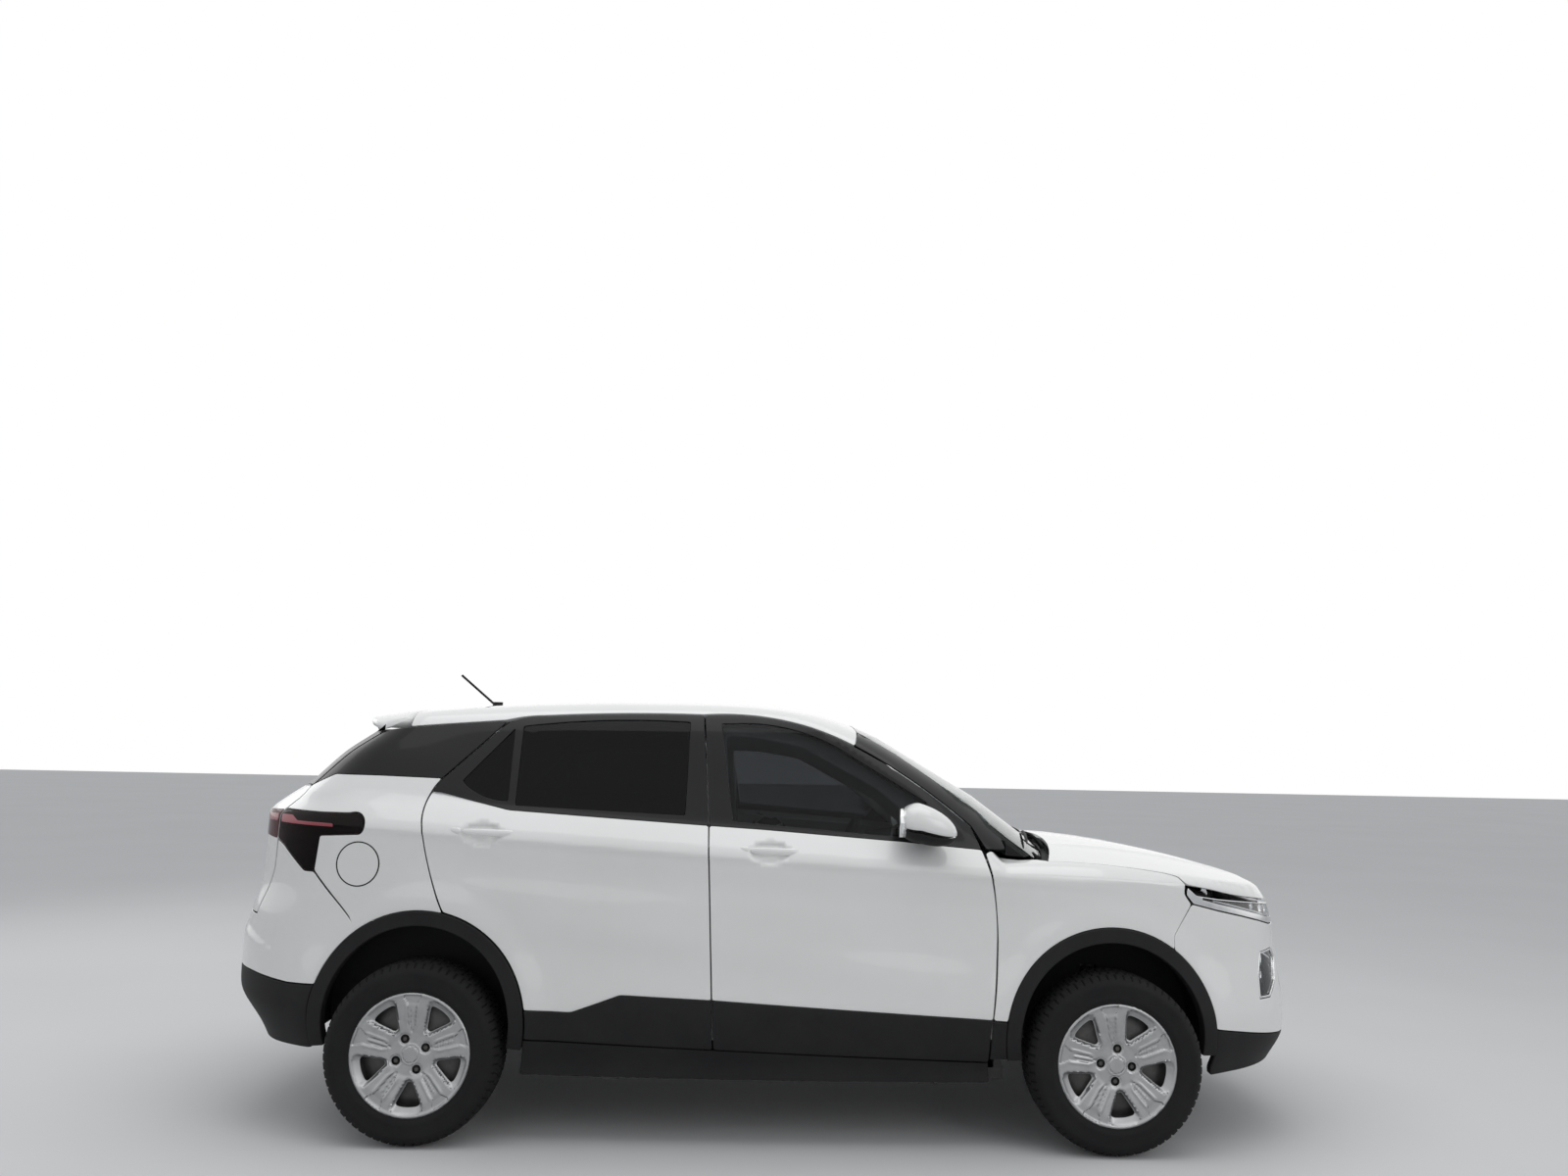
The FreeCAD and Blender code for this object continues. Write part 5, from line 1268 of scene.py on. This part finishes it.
for end, x, window_turn, lug_turn in (("front", FRONT_AXLE, -11, -5), ("rear", REAR_AXLE, -18, 24)):
    points, shading, solid = cover_shape(x, window_turn, lug_turn)
    for side, sign in (("right", -1), ("left", 1)):
        body = "wheel_%s_%s" % (end, side)
        here, around, facing = side_of(points, solid, shading, sign)
        cover = object_from("wheel_cover_%s_%s" % (end, side), here, around, SILVER, facing)
        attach(cover, body)
        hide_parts("rim_%s_%s" % (end, side))
        revolved("wheel_barrel_%s_%s" % (end, side), body, barrel_profile, x, sign, STEEL)
        revolved("wheel_disc_%s_%s" % (end, side), body, disc_profile, x, sign, STEEL, 64)
        for k, (a, b) in enumerate(lug_places(lug_turn)):
            revolved("wheel_nut_%s_%s_%d" % (end, side, k + 1), body, nut_profile, x + a, sign, STEEL, 6,
                     WHEEL_HEIGHT + b)
        tyre = closed_rings("tyre_tread_%s_%s" % (end, side), body, tyre_rings(x, sign), RUBBER, sign)
        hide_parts("tyre_%s_%s" % (end, side))


# Pieces turned about an axis, rounded blocks and tubes
def facing_out(points, faces):
    """The faces of a closed mesh, turned round if they face inwards."""
    points = np.asarray(points, float)
    total = 0.0
    for f in faces:
        for k in range(1, len(f) - 1):
            total += np.dot(points[f[0]], np.cross(points[f[k]], points[f[k + 1]]))
    return faces if total > 0 else [tuple(f[::-1]) for f in faces]


def placed(name, body, points, faces, material, pair):
    """A closed mesh as one piece, or as one on each side."""
    faces = facing_out(points, faces)
    made = []
    for sign, side in ends_of(pair):
        here, around, _ = side_of(points, faces, None, sign)
        piece = object_from(name + side, here, around, material)
        piece.data.set_sharp_from_angle(angle=math.radians(40))
        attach(piece, body_on(body, side))
        made.append(piece)
    return made


def turned_piece(name, body, centre, axis, profile, material, pair=False, count=36):
    """A piece turned about an axis; the profile is (radius, distance along the axis), closed."""
    axis = np.asarray(axis, float) / np.linalg.norm(axis)
    across = np.cross(axis, (0, 0, 1) if abs(axis[2]) < 0.9 else (1, 0, 0))
    across /= np.linalg.norm(across)
    above = np.cross(axis, across)
    profile = np.asarray(profile, float)
    rings = []
    for t in np.linspace(0, 2 * math.pi, count, endpoint=False):
        out = across * math.cos(t) + above * math.sin(t)
        rings.append(centre + profile[:, :1] * out + profile[:, 1:] * axis)
    return placed(name, body, np.vstack(rings), ring_faces(count, len(profile)), material, pair)


def block_sections(low, high, radius, corner=5):
    """Cross-sections of a box with rounded edges, from its bottom to its top."""
    low, high = np.array(low, float), np.array(high, float)
    middle, half = (low + high) / 2, (high - low) / 2
    sections = []
    for way, turns in ((-1, np.linspace(78, 0, corner)), (1, np.linspace(0, 78, corner))):
        for turn in np.radians(turns):
            z = middle[2] + way * (half[2] - radius + radius * math.sin(turn))
            r = radius * math.cos(turn)
            section = []
            for quarter in range(4):
                side_x = 1 if quarter in (0, 3) else -1
                side_y = 1 if quarter in (0, 1) else -1
                for a in np.radians(np.linspace(90 * quarter, 90 * quarter + 90, corner)):
                    section.append((middle[0] + side_x * (half[0] - radius) + r * math.cos(a),
                                    middle[1] + side_y * (half[1] - radius) + r * math.sin(a), z))
            sections.append(np.array(section))
    return sections


def block(name, body, low, high, radius, material, pair=False):
    """A box with rounded edges."""
    sections = block_sections(low, high, radius)
    faces = grid_faces(len(sections), len(sections[0]))
    return placed(name, body, np.vstack(sections), faces, material, pair)


def tube(name, body, path, radii, material, pair=False, sides=14):
    """A round bar along a path of points, with a radius at each."""
    path = np.asarray(path, float)
    along = np.gradient(path, axis=0)
    along /= np.linalg.norm(along, axis=1)[:, None]
    across = np.cross(along, (0, 0, 1))
    across /= np.linalg.norm(across, axis=1)[:, None]
    above = np.cross(along, across)
    turns = np.linspace(0, 2 * math.pi, sides, endpoint=False)
    rings = [path[k] + radii[k] * (np.outer(np.cos(turns), across[k]) + np.outer(np.sin(turns), above[k]))
             for k in range(len(path))]
    return placed(name, body, np.vstack(rings), grid_faces(len(path), sides), material, pair)


# Door hinges: the fixed half with its pin, and the half on the door
PIN = [(0.4, -44), (3.6, -44), (4.6, -43), (4.6, 43), (3.6, 44), (0.4, 44)]
EYE = [(4.9, 0), (6, 0), (6.6, 0.6), (6.6, 7.4), (6, 8), (4.9, 8)]
BARREL = [(4.9, -33), (6, -33), (6.6, -32), (6.6, 32), (6, 33), (4.9, 33)]
UPRIGHT = (0, 0, 1)
for end, (x, out) in HINGES.items():
    y = -out
    door = "door_%s" % end
    for level, z in (("low", 500), ("high", 955)):
        name = "hinge_%s_%s" % (end, level)
        pin = turned_piece(name + "_pin", "body", (x, y, z), UPRIGHT, PIN, STEEL, True, 20)
        for part, low in (("low", z - 44), ("high", z + 36)):
            turned_piece("%s_eye_%s" % (name, part), "body", (x, y, low), UPRIGHT, EYE, STEEL, True, 20)
            block("%s_arm_%s" % (name, part), "body", (x - 9, y + 5, low), (x + 3, y + 90, low + 8), 2,
                  STEEL, True)
        block(name + "_plate", "body", (x - 10, y + 84, z - 46), (x + 10, y + 120, z + 46), 3, STEEL, True)
        turned_piece(name + "_barrel", door, (x, y, z), UPRIGHT, BARREL, STEEL, True, 20)
        block(name + "_leaf", door, (x - 44, y, z - 32), (x - 6, y + 6, z + 32), 2, STEEL, True)
        if name == "hinge_front_low":
            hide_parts("door_hinges")

# Headlamps: a bright frame round a lens over a dark housing, with a light bar and bowls
lamp_base = np.vstack([lamp_edge, [[-60, 760], [0, 758]]])
hood_front = np.vstack([
    side_line(NOSE_EDGE[2:], "nose", lower_skin),
    [[-440, 866], [-300, 852], [-150, 842], [150, 842], [300, 852]]])


def over_bumper(turns, rise=0.0):
    """Points of the nose view that follow the bumper's upper edge."""
    return np.stack([turns, np.interp(-np.abs(turns), lamp_base[:, 0], lamp_base[:, 1]) + rise], 1)


def under_hood(turns, drop=0.0):
    """Points of the nose view that follow the hood's front edge."""
    return np.stack([turns, np.interp(turns, hood_front[:, 0], hood_front[:, 1]) - drop], 1)


lamp_tip = side_line([(1555, 920), (1560, 945), (1594, 917)], "nose", lower_skin)
turns = np.linspace(lamp_base[0, 0] + 2, -262, 120)
frame_outer = np.vstack([over_bumper(turns, 5), under_hood(turns[::-1][turns[::-1] > -985], 9), lamp_tip[::-1]])
turns = np.linspace(-960, -318, 120)
lamp_line = np.vstack([over_bumper(turns, 27), under_hood(turns[::-1], 13)])
panel("headlamp_frame", "nose", frame_outer, "body", CHROME, holes=[lamp_line], skin=lower_skin, depth=10,
      edge=1.5, pair=True, step=12, soften=3, spacing=6)
lenses = panel("headlamp_lens", "nose", grown(even(lamp_line, 6, 3), -1), "body", LENS, skin=lower_skin,
               depth=3, edge=1, stand=-1, pair=True, step=14, soften=0)
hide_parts("headlamps")
panel("headlamp_housing", "nose", grown(even(lamp_line, 6, 4), 6), "body", SOFT_BLACK, skin=lower_skin,
      depth=4, stand=-40, pair=True, step=16)
turns = np.linspace(-900, -340, 90)
panel("headlamp_bar", "nose", np.vstack([over_bumper(turns, 32), over_bumper(turns[::-1], 39)]), "body",
      LIGHT_BAR, skin=lower_skin, depth=6, stand=-9, edge=1.5, pair=True, step=12, soften=0)
for index, turn in enumerate((-365, -430, -500, -575, -655)):
    at = np.array([turn])
    low_z, high_z = over_bumper(at, 40)[0, 1], under_hood(at, 14)[0, 1]
    r = (high_z - low_z) * 0.5
    place, normal = on_skin("nose", np.array([[turn, (low_z + high_z) / 2]]), lower_skin)
    way = normal[0] * np.array([1, 1, 0.2])
    centre = place[0] - normal[0] * 12
    turned_piece("headlamp_bowl_%d" % (index + 1), "body", centre, way, [
        (r, 0), (r * 0.86, -5), (r * 0.6, -11), (r * 0.3, -15), (1, -16), (1, -18),
        (r * 0.3, -17), (r * 0.62, -13), (r * 0.9, -6), (r + 1.5, -1)], CHROME, True)
    turned_piece("headlamp_unit_%d" % (index + 1), "body", centre, way, [
        (0.6, -4), (r * 0.3, -5), (r * 0.45, -9), (r * 0.45, -10), (0.6, -10)], LIGHT_BAR, True)

# Lower lamps: a chrome frame, a lens, and a bowl in a dark recess
fog_line = even(fog_hole, 5, 5)
fog_frames = panel("lower_lamp_frame", "nose", grown(fog_line, -3), "body", CHROME,
                   holes=[grown(fog_line, -10)], skin=lower_skin, depth=14, stand=-1, edge=1.5, pair=True,
                   step=7, soften=0)
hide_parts("lower_lamps")
panel("lower_lamp_lens", "nose", grown(fog_line, -11), "body", LENS, skin=lower_skin, depth=3, stand=-7,
      edge=0.8, pair=True, step=12, soften=0)
panel("lower_lamp_housing", "nose", grown(fog_line, 8), "body", SOFT_BLACK, skin=lower_skin, depth=4,
      stand=-62, pair=True, step=14)
unit = on_skin("side", np.array([(1930.0, 636.0)]), lower_skin)[0][0]
for part, z, size in (("high", 22, 27), ("low", -38, 19)):
    centre = unit + np.array([-26, 22, z])
    way = (0.86, -0.5, 0)
    turned_piece("lower_lamp_bowl_" + part, "body", centre, way, [
        (size, 8), (size * 0.88, -4), (size * 0.6, -14), (size * 0.3, -18), (1, -19), (1, -22),
        (size * 0.3, -21), (size * 0.64, -17), (size * 0.93, -6), (size + 2, 7)], CHROME, True)
    turned_piece("lower_lamp_unit_" + part, "body", centre, way, [
        (0.6, 4), (size * 0.35, 2), (size * 0.62, -4), (size * 0.7, -11), (size * 0.6, -13), (0.6, -13)],
        LENS, True)

# Grille: a frame, bars across, fins behind them and a dark backing
grille_line = even(grille_hole, 6, 8)


def span_at(line, value, axis):
    """Where a closed line crosses a value of one of its two coordinates."""
    after = np.roll(line, -1, axis=0)
    cross = (line[:, axis] - value) * (after[:, axis] - value) < 0
    a, b = line[cross], after[cross]
    share = (value - a[:, axis]) / (b[:, axis] - a[:, axis])
    found = a[:, 1 - axis] + (b[:, 1 - axis] - a[:, 1 - axis]) * share
    return found.min(), found.max()


grille_ring = panel("grille_frame", "nose", grown(grille_line, -4), "body", GLOSS_BLACK,
                    holes=[grown(grille_line, -15)], skin=lower_skin, depth=22, stand=-1, edge=3, step=10,
                    soften=0)[0]
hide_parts("grille")
panel("grille_back", "nose", grown(grille_line, 6), "body", SOFT_BLACK, skin=lower_skin, depth=4,
      stand=-62, step=30)
inner_line = grown(grille_line, -12)
GRILLE_BARS = 6
GRILLE_FINS = 9
for index in range(GRILLE_BARS):
    z = 447 + 34 * index
    first, last = span_at(inner_line, z, 1)
    bar_line = np.array([(first, z - 6), (last, z - 6), (last, z + 6), (first, z + 6)])
    panel("grille_bar_%d" % (index + 1), "nose", even(bar_line, 8), "body", BLACK, skin=lower_skin, depth=20,
          stand=-9, edge=3, step=20, soften=0)
for index in range(GRILLE_FINS):
    turn = 24 + 50 * index
    first, last = span_at(inner_line, -turn, 0)
    fin_line = np.array([(-turn - 4, first), (-turn + 4, first), (-turn + 4, last), (-turn - 4, last)])
    panel("grille_fin_%d" % (index + 1), "nose", even(fin_line, 8), "body", SOFT_BLACK, skin=lower_skin,
          depth=12, stand=-32, edge=2, pair=True, step=20, soften=0)

# The dark band between the headlamps
turns = np.linspace(-257, 257, 90)
panel("lamp_bridge", "nose", np.vstack([over_bumper(turns, 5), under_hood(turns[::-1], 6)]), "body",
      GLOSS_BLACK, skin=lower_skin, depth=10, stand=-5, edge=2, step=16, soften=3)

# Tail lamps: the red strip in them
panel("tail_lamp_strip", TAIL, side_line([
    (-1640, 1114), (-1640, 1126), (-1796, 1131), (-1822, 1150), (-1880, 1151), (-1880, 1121), (-1796, 1118),
    (-1640, 1114)], TAIL)[:-1], "body", RED_STRIP, depth=1.5, stand=0.7, edge=0.6, pair=True, step=8, soften=2)
panel("tailgate_lamp_strip", "rear", traced([(-634, 1150), (-634, 1124), (-440, 1122), (-440, 1146)]),
      "tailgate", RED_STRIP, depth=1.5, stand=2.7, edge=0.6, pair=True, step=12, soften=3)

# Wipers on the windscreen
share = np.linspace(0, 1, 24)[:, None]
for name, *points in (("wiper_right", (1105, -330), (985, -600), (1085, -50)),
                      ("wiper_left", (1120, 150), (1085, 0), (995, 560))):
    root, start, end = (np.array(point) for point in points)
    place, normal = on_skin("top", start + (end - start) * share, cabin_skin)
    tube(name + "_blade", "body", place + normal * 9, 6 - 3 * np.abs(share[:, 0] * 2 - 1) ** 6, BLACK)
    place, normal = on_skin("top", root + ((start + end) / 2 - root) * share, cabin_skin)
    tube(name + "_arm", "body", place + normal * (12 + 8 * np.sin(share * 3)), 9 - 4 * share[:, 0], BLACK)

# Door handles: a bar over each recess and the cap behind it
def side_skin(x, z):
    """How far out the body's side is."""
    return on_skin("side", np.stack([x, z], 1), lower_skin)[0][:, 1]


def handle(name, body, x0, z0, x1, z1, first, last, rise):
    """A rounded bar that arches out from the door, over a share of the way between two points."""
    share = np.linspace(first, last, 36)
    x = x0 + (x1 - x0) * share
    z = z0 + (z1 - z0) * share
    end = 1 - np.abs((share - first) / (last - first) * 2 - 1) ** 6
    base = np.interp(x, [x0, x1], side_skin(np.array([x0, x1]), np.array([z0 + 30, z1 + 30])))
    arch = rise * np.sin(np.pi * np.clip(share, 0.02, 0.98)) ** 0.55
    sections = []
    for k in range(len(share)):
        t = np.linspace(0, 2 * math.pi, 20, endpoint=False)
        tall = 13.0 * max(end[k], 0.02) ** 0.5
        thick = 7.5 * max(end[k], 0.02) ** 0.5
        out = base[k] - arch[k] - thick * np.cos(t)
        sections.append(np.stack([np.full(20, x[k]), out, z[k] + tall * np.sin(t)], 1))
    for sign, side in ends_of(True):
        lofted(name + side, body + side, on_side(sections, sign), WHITE)


for end, x0, z0, x1, z1 in (("front", -137, 1063, 114, 1057), ("rear", -1204, 1110, -949, 1104)):
    handle("door_%s_handle" % end, "door_%s" % end, x0, z0, x1, z1, 0.205, 1.0, 26)
    handle("door_%s_handle_cap" % end, "door_%s" % end, x0, z0, x1, z1, 0.0, 0.19, 24)

# Fuel flap with a dark ring round it: painted shade that stands for the shadow in the seam round the flap
flap_line = to_view(QUARTER, on_skin("side", circle(-1536, 981, 80, 89), body_skin)[0])
panel("fuel_flap", QUARTER, grown(flap_line, -2), "body", WHITE, depth=2, stand=1.0, edge=0.8, step=10,
      soften=0)
# A flush dark ring over the panel: painted shade where the seam's shadow would fall
panel("fuel_flap_seam_shade", QUARTER, grown(flap_line, 2.5), "body", SEAM_SHADE, holes=[grown(flap_line, -3)],
      depth=1.2, stand=0.5, edge=0.4, step=6, soften=0, spacing=5)

# Mirrors: white cap, black base, a dark strip between them, and the glass
MIRROR_X = 530
MIRROR_OUT = 877


def mirror_half(x):
    """The share of the mirror's full height and width at a place along it."""
    back = math.sqrt(max(1 - ((x - MIRROR_X) / 76) ** 2, 0))
    front = math.sqrt(max(1 - (max(x - MIRROR_X, 0) / 141) ** 2.2, 0))
    return back if x < MIRROR_X else front


def mirror_sections(low, high, grow, first=461.0, last=670.5):
    """Cross-sections of the part of the mirror's shell between two turns about its middle line."""
    sections = []
    for x in np.concatenate([np.linspace(first, 500, 9), np.linspace(510, last - 6, 22), [last - 2, last]]):
        half = mirror_half(x)
        centre_z = 1174 - 0.27 * max(x - MIRROR_X, 0)
        t = np.radians(np.linspace(low, high, 24))
        across = 87 * max(half, 0.05) ** 0.8 * grow
        tall = 73 * max(half, 0.05) * grow
        y = -MIRROR_OUT - across * np.sign(np.cos(t)) * np.abs(np.cos(t)) ** 0.8
        z = centre_z + tall * np.sign(np.sin(t)) * np.abs(np.sin(t)) ** 0.85
        sections.append(np.stack([np.full(len(t), x), y, z], 1))
    return sections


def mirror_arm():
    """Cross-sections of the arm that carries the mirror, from the door outwards."""
    sections = []
    t = np.linspace(0, 2 * math.pi, 20, endpoint=False)
    for share in np.linspace(0, 1, 12):
        long = 62 - 20 * math.sin(math.pi * share)
        tall = 24 - 7 * math.sin(math.pi * share)
        sections.append(np.stack([585 - 30 * share + long * np.cos(t), np.full(20, -742 - 90 * share),
                                  1108 + 12 * share + tall * np.sin(t)], 1))
    return sections


glass_rows = mirror_sections(0, 345, 0.86, 458.5, 475.0)
MIRROR_PARTS = [
    ("mirror_cap", mirror_sections(-14, 194, 1.0), WHITE),
    ("mirror_strip", mirror_sections(-24, 204, 0.975), SMOKED_LENS),
    ("mirror_base", mirror_sections(-156, -24, 0.99), BLACK),
    ("mirror_glass", [row * np.array([1, 0, 0]) + glass_rows[6] * np.array([0, 1, 1]) for row in glass_rows],
     CHROME),
    ("mirror_arm", mirror_arm(), BLACK),
]
for sign, side in ends_of(True):
    for name, rows, material in MIRROR_PARTS:
        piece = lofted(name + side, "door_front" + side, on_side(rows, sign), material)
        if name == "mirror_cap":
            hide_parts("mirror" + side)

# Seats: stuffed cushions on plain bases
def leaning_back(points, base, degrees):
    """Points turned back about a line across the car, then moved to their base."""
    a = math.radians(degrees)
    x = points[:, 0] * math.cos(a) - points[:, 2] * math.sin(a)
    z = points[:, 0] * math.sin(a) + points[:, 2] * math.cos(a)
    return np.stack([x, points[:, 1], z], 1) + np.asarray(base, float)


def applied(piece):
    """The piece's mesh with its modifiers, in place of the one that it had."""
    made = bpy.data.meshes.new_from_object(piece.evaluated_get(bpy.context.evaluated_depsgraph_get()))
    piece.modifiers.clear()
    piece.data = made
    return made


def of_vertices(mesh, kind):
    """The places ("co") or normals ("normal") of a mesh's points."""
    found = np.empty(len(mesh.vertices) * 3)
    mesh.vertices.foreach_get(kind, found)
    return found.reshape(-1, 3)


# A cushion's blowing up: its grid in metres, its pressure, the frames that it runs for and the most it moves
CUSHION_GRID = 0.009
BENCH_GRID = 0.0115
PRESSURE = 4.0
STUFFING_FRAMES = 20
MOST_MOVE = 0.026


def stuffed(piece, voxel):
    """The piece blown up a little, as a stuffed cover is."""
    remesh = piece.modifiers.new("remesh", "REMESH")
    remesh.mode = "VOXEL"
    remesh.voxel_size = voxel
    mesh = applied(piece)
    before = of_vertices(mesh, "co")
    cloth = piece.modifiers.new("cloth", "CLOTH")
    cloth.settings.use_pressure = True
    cloth.settings.uniform_pressure_force = PRESSURE
    cloth.settings.effector_weights.gravity = 0
    cloth.settings.quality = 4
    cloth.point_cache.frame_start = 1
    cloth.point_cache.frame_end = STUFFING_FRAMES
    scene = bpy.context.scene
    for moment in range(1, STUFFING_FRAMES + 1):
        scene.frame_set(moment)
    mesh = applied(piece)
    scene.frame_set(1)
    move = of_vertices(mesh, "co") - before
    length = np.linalg.norm(move, axis=1)[:, None]
    after = before + move * np.minimum(1, MOST_MOVE / np.maximum(length, 1e-9))
    mesh.vertices.foreach_set("co", after.ravel())
    mesh.shade_smooth()


def seat_cushion(name, sections, ys, seams, voxel=CUSHION_GRID):
    """A stuffed piece at each y of a list, all with the same form; a seam is (y, depth, width)."""
    faces = grid_faces(len(sections), len(sections[0]))
    first = placed(name, "body", np.vstack(sections), faces, FABRIC, False)[0]
    stuffed(first, voxel)
    base = of_vertices(first.data, "co")
    for y, depth, width in seams:
        groove = depth * np.exp(-((base[:, 1] - y * MM) / (width * MM)) ** 2)
        base -= of_vertices(first.data, "normal") * (groove * MM)[:, None]
    first.data.vertices.foreach_set("co", base.ravel())
    first.data.update()
    for index, y in enumerate(ys):
        piece = first
        if index > 0:
            piece = bpy.data.objects.new("%s_%d" % (name, index + 1), first.data.copy())
            bpy.context.scene.collection.objects.link(piece)
            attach(piece, "body")
        piece.data.vertices.foreach_set("co", (base + np.array([0, y * MM, 0])).ravel())
        piece.data.update()
    return first


def leaned(low, high, radius, base, degrees):
    """Cross-sections of a rounded box that leans back."""
    return [leaning_back(section, base, degrees) for section in block_sections(low, high, radius)]


FRONT_SEAT = 370
REAR_SEAT = 400
HALF_BENCH = 545
front_pair = (-FRONT_SEAT, FRONT_SEAT)
bench_seams = [(-200, 7, 10), (200, 7, 10)]
front_cushion = seat_cushion("front_cushion", block_sections((-215, -205, 455), (300, 205, 552), 34),
                             front_pair, [(-120, 7, 9), (120, 7, 9)])
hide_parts("front_seats")
seat_cushion("front_backrest", leaned((-55, -200, 0), (35, 200, 545), 32, (-235, 0, 560), 16), front_pair,
             [(-115, 7, 9), (115, 7, 9)])
seat_cushion("front_headrest", leaned((-38, -112, 0), (32, 112, 145), 30, (-352, 0, 1150), 10), front_pair, [])
rear_cushion = seat_cushion(
    "rear_cushion", block_sections((-845, -HALF_BENCH, 545), (-400, HALF_BENCH, 622), 32), (0,), bench_seams,
    BENCH_GRID)
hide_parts("rear_seat")
seat_cushion("rear_backrest", leaned((-45, -HALF_BENCH, 0), (35, HALF_BENCH, 440), 32, (-880, 0, 650), 13),
             (0,), bench_seams, BENCH_GRID)
seat_cushion("rear_headrest", leaned((-30, -100, 0), (28, 100, 100), 26, (-975, 0, 1140), 8),
             (-REAR_SEAT, 0, REAR_SEAT), [])
for side, y in (("right", -FRONT_SEAT), ("left", FRONT_SEAT)):
    block("front_seat_base_" + side, "body", (-200, y - 200, 352), (270, y + 200, 450), 16, TRIM)
    for index, post in enumerate((y - 70, y + 70)):
        tube("headrest_post_%s_%d" % (side, index + 1), "body",
             [(-345, post, 1060), (-352, post, 1110), (-360, post, 1175)], [6, 6, 6], STEEL)

# Floor, walls of light and lamps
floor_mesh = bpy.data.meshes.new("floor")
reach = 40
floor_mesh.from_pydata([(-reach, -reach, 0), (reach, -reach, 0), (reach, reach, 0), (-reach, reach, 0)],
                       [], [(0, 1, 2, 3)])
floor = bpy.data.objects.new("floor", floor_mesh)
bpy.context.scene.collection.objects.link(floor)
floor_shader = Shader("floor_surface")
floor_shader.set(Roughness=0.85)
floor_shader.colour(floor_shader.ramp(floor_shader.noise(0.6, 3), 0.3, 0.8, (0.70,) * 3, (0.73,) * 3))
floor_mesh.materials.append(floor_shader.material)

world = bpy.data.worlds.new("world")
bpy.context.scene.world = world
world.use_nodes = True
tree = world.node_tree
tree.nodes.clear()


def background(colour, strength):
    made = tree.nodes.new("ShaderNodeBackground")
    made.inputs["Color"].default_value = (*colour, 1)
    made.inputs["Strength"].default_value = strength
    return made.outputs[0]


# White where the camera sees the background, also in reflections and through glass
light_path = tree.nodes.new("ShaderNodeLightPath")
seen = light_path.outputs["Is Camera Ray"]
for ray in ("Is Glossy Ray", "Is Transmission Ray"):
    either = tree.nodes.new("ShaderNodeMath")
    either.operation = "MAXIMUM"
    tree.links.new(seen, either.inputs[0])
    tree.links.new(light_path.outputs[ray], either.inputs[1])
    seen = either.outputs[0]
mixed = tree.nodes.new("ShaderNodeMixShader")
tree.links.new(seen, mixed.inputs["Fac"])
tree.links.new(background((0.93, 0.96, 1.0), 0.5), mixed.inputs[1])
tree.links.new(background((1, 1, 1), 1.0), mixed.inputs[2])
world_out = tree.nodes.new("ShaderNodeOutputWorld")
tree.links.new(mixed.outputs[0], world_out.inputs["Surface"])


def lamp(name, place, target, size, energy):
    """A rectangular area light that faces a target."""
    data = bpy.data.lights.new(name, "AREA")
    data.shape = "RECTANGLE"
    data.size, data.size_y = size
    data.energy = energy
    made = bpy.data.objects.new(name, data)
    bpy.context.scene.collection.objects.link(made)
    made.location = place
    made.rotation_mode = "QUATERNION"
    made.rotation_quaternion = (Vector(target) - Vector(place)).to_track_quat("-Z", "Y")


lamp("overhead", (0, -1, 6), (0, 0, 0), (7, 5), 128)
lamp("front_side", (5, -5, 3.5), (0.5, 0, 0.7), (4, 3), 55)
lamp("rear_side", (-6, 3, 4), (0, 0, 0.7), (4, 3), 45)

bpy.context.scene.view_settings.view_transform = "Standard"

# Carried-over nodes get their finish
FINISH = {
    "white_paint": WHITE, "dark_glass": DARK_GLASS, "clear_glass": SCREEN_GLASS, "black_plastic": BLACK,
    "lamp_glass": LENS, "red_lamp": RED_LENS, "steel": STEEL, "cast_metal": CAST, "interior_plastic": TRIM,
    "seat_fabric": FABRIC, "tyre": RUBBER, "silver_wheel": SILVER,
}
for row in frame["record"]["subparts"]:
    node = nodes[row["node"]]
    node.data.materials.clear()
    node.data.materials.append(FINISH[row["material_slot"]])
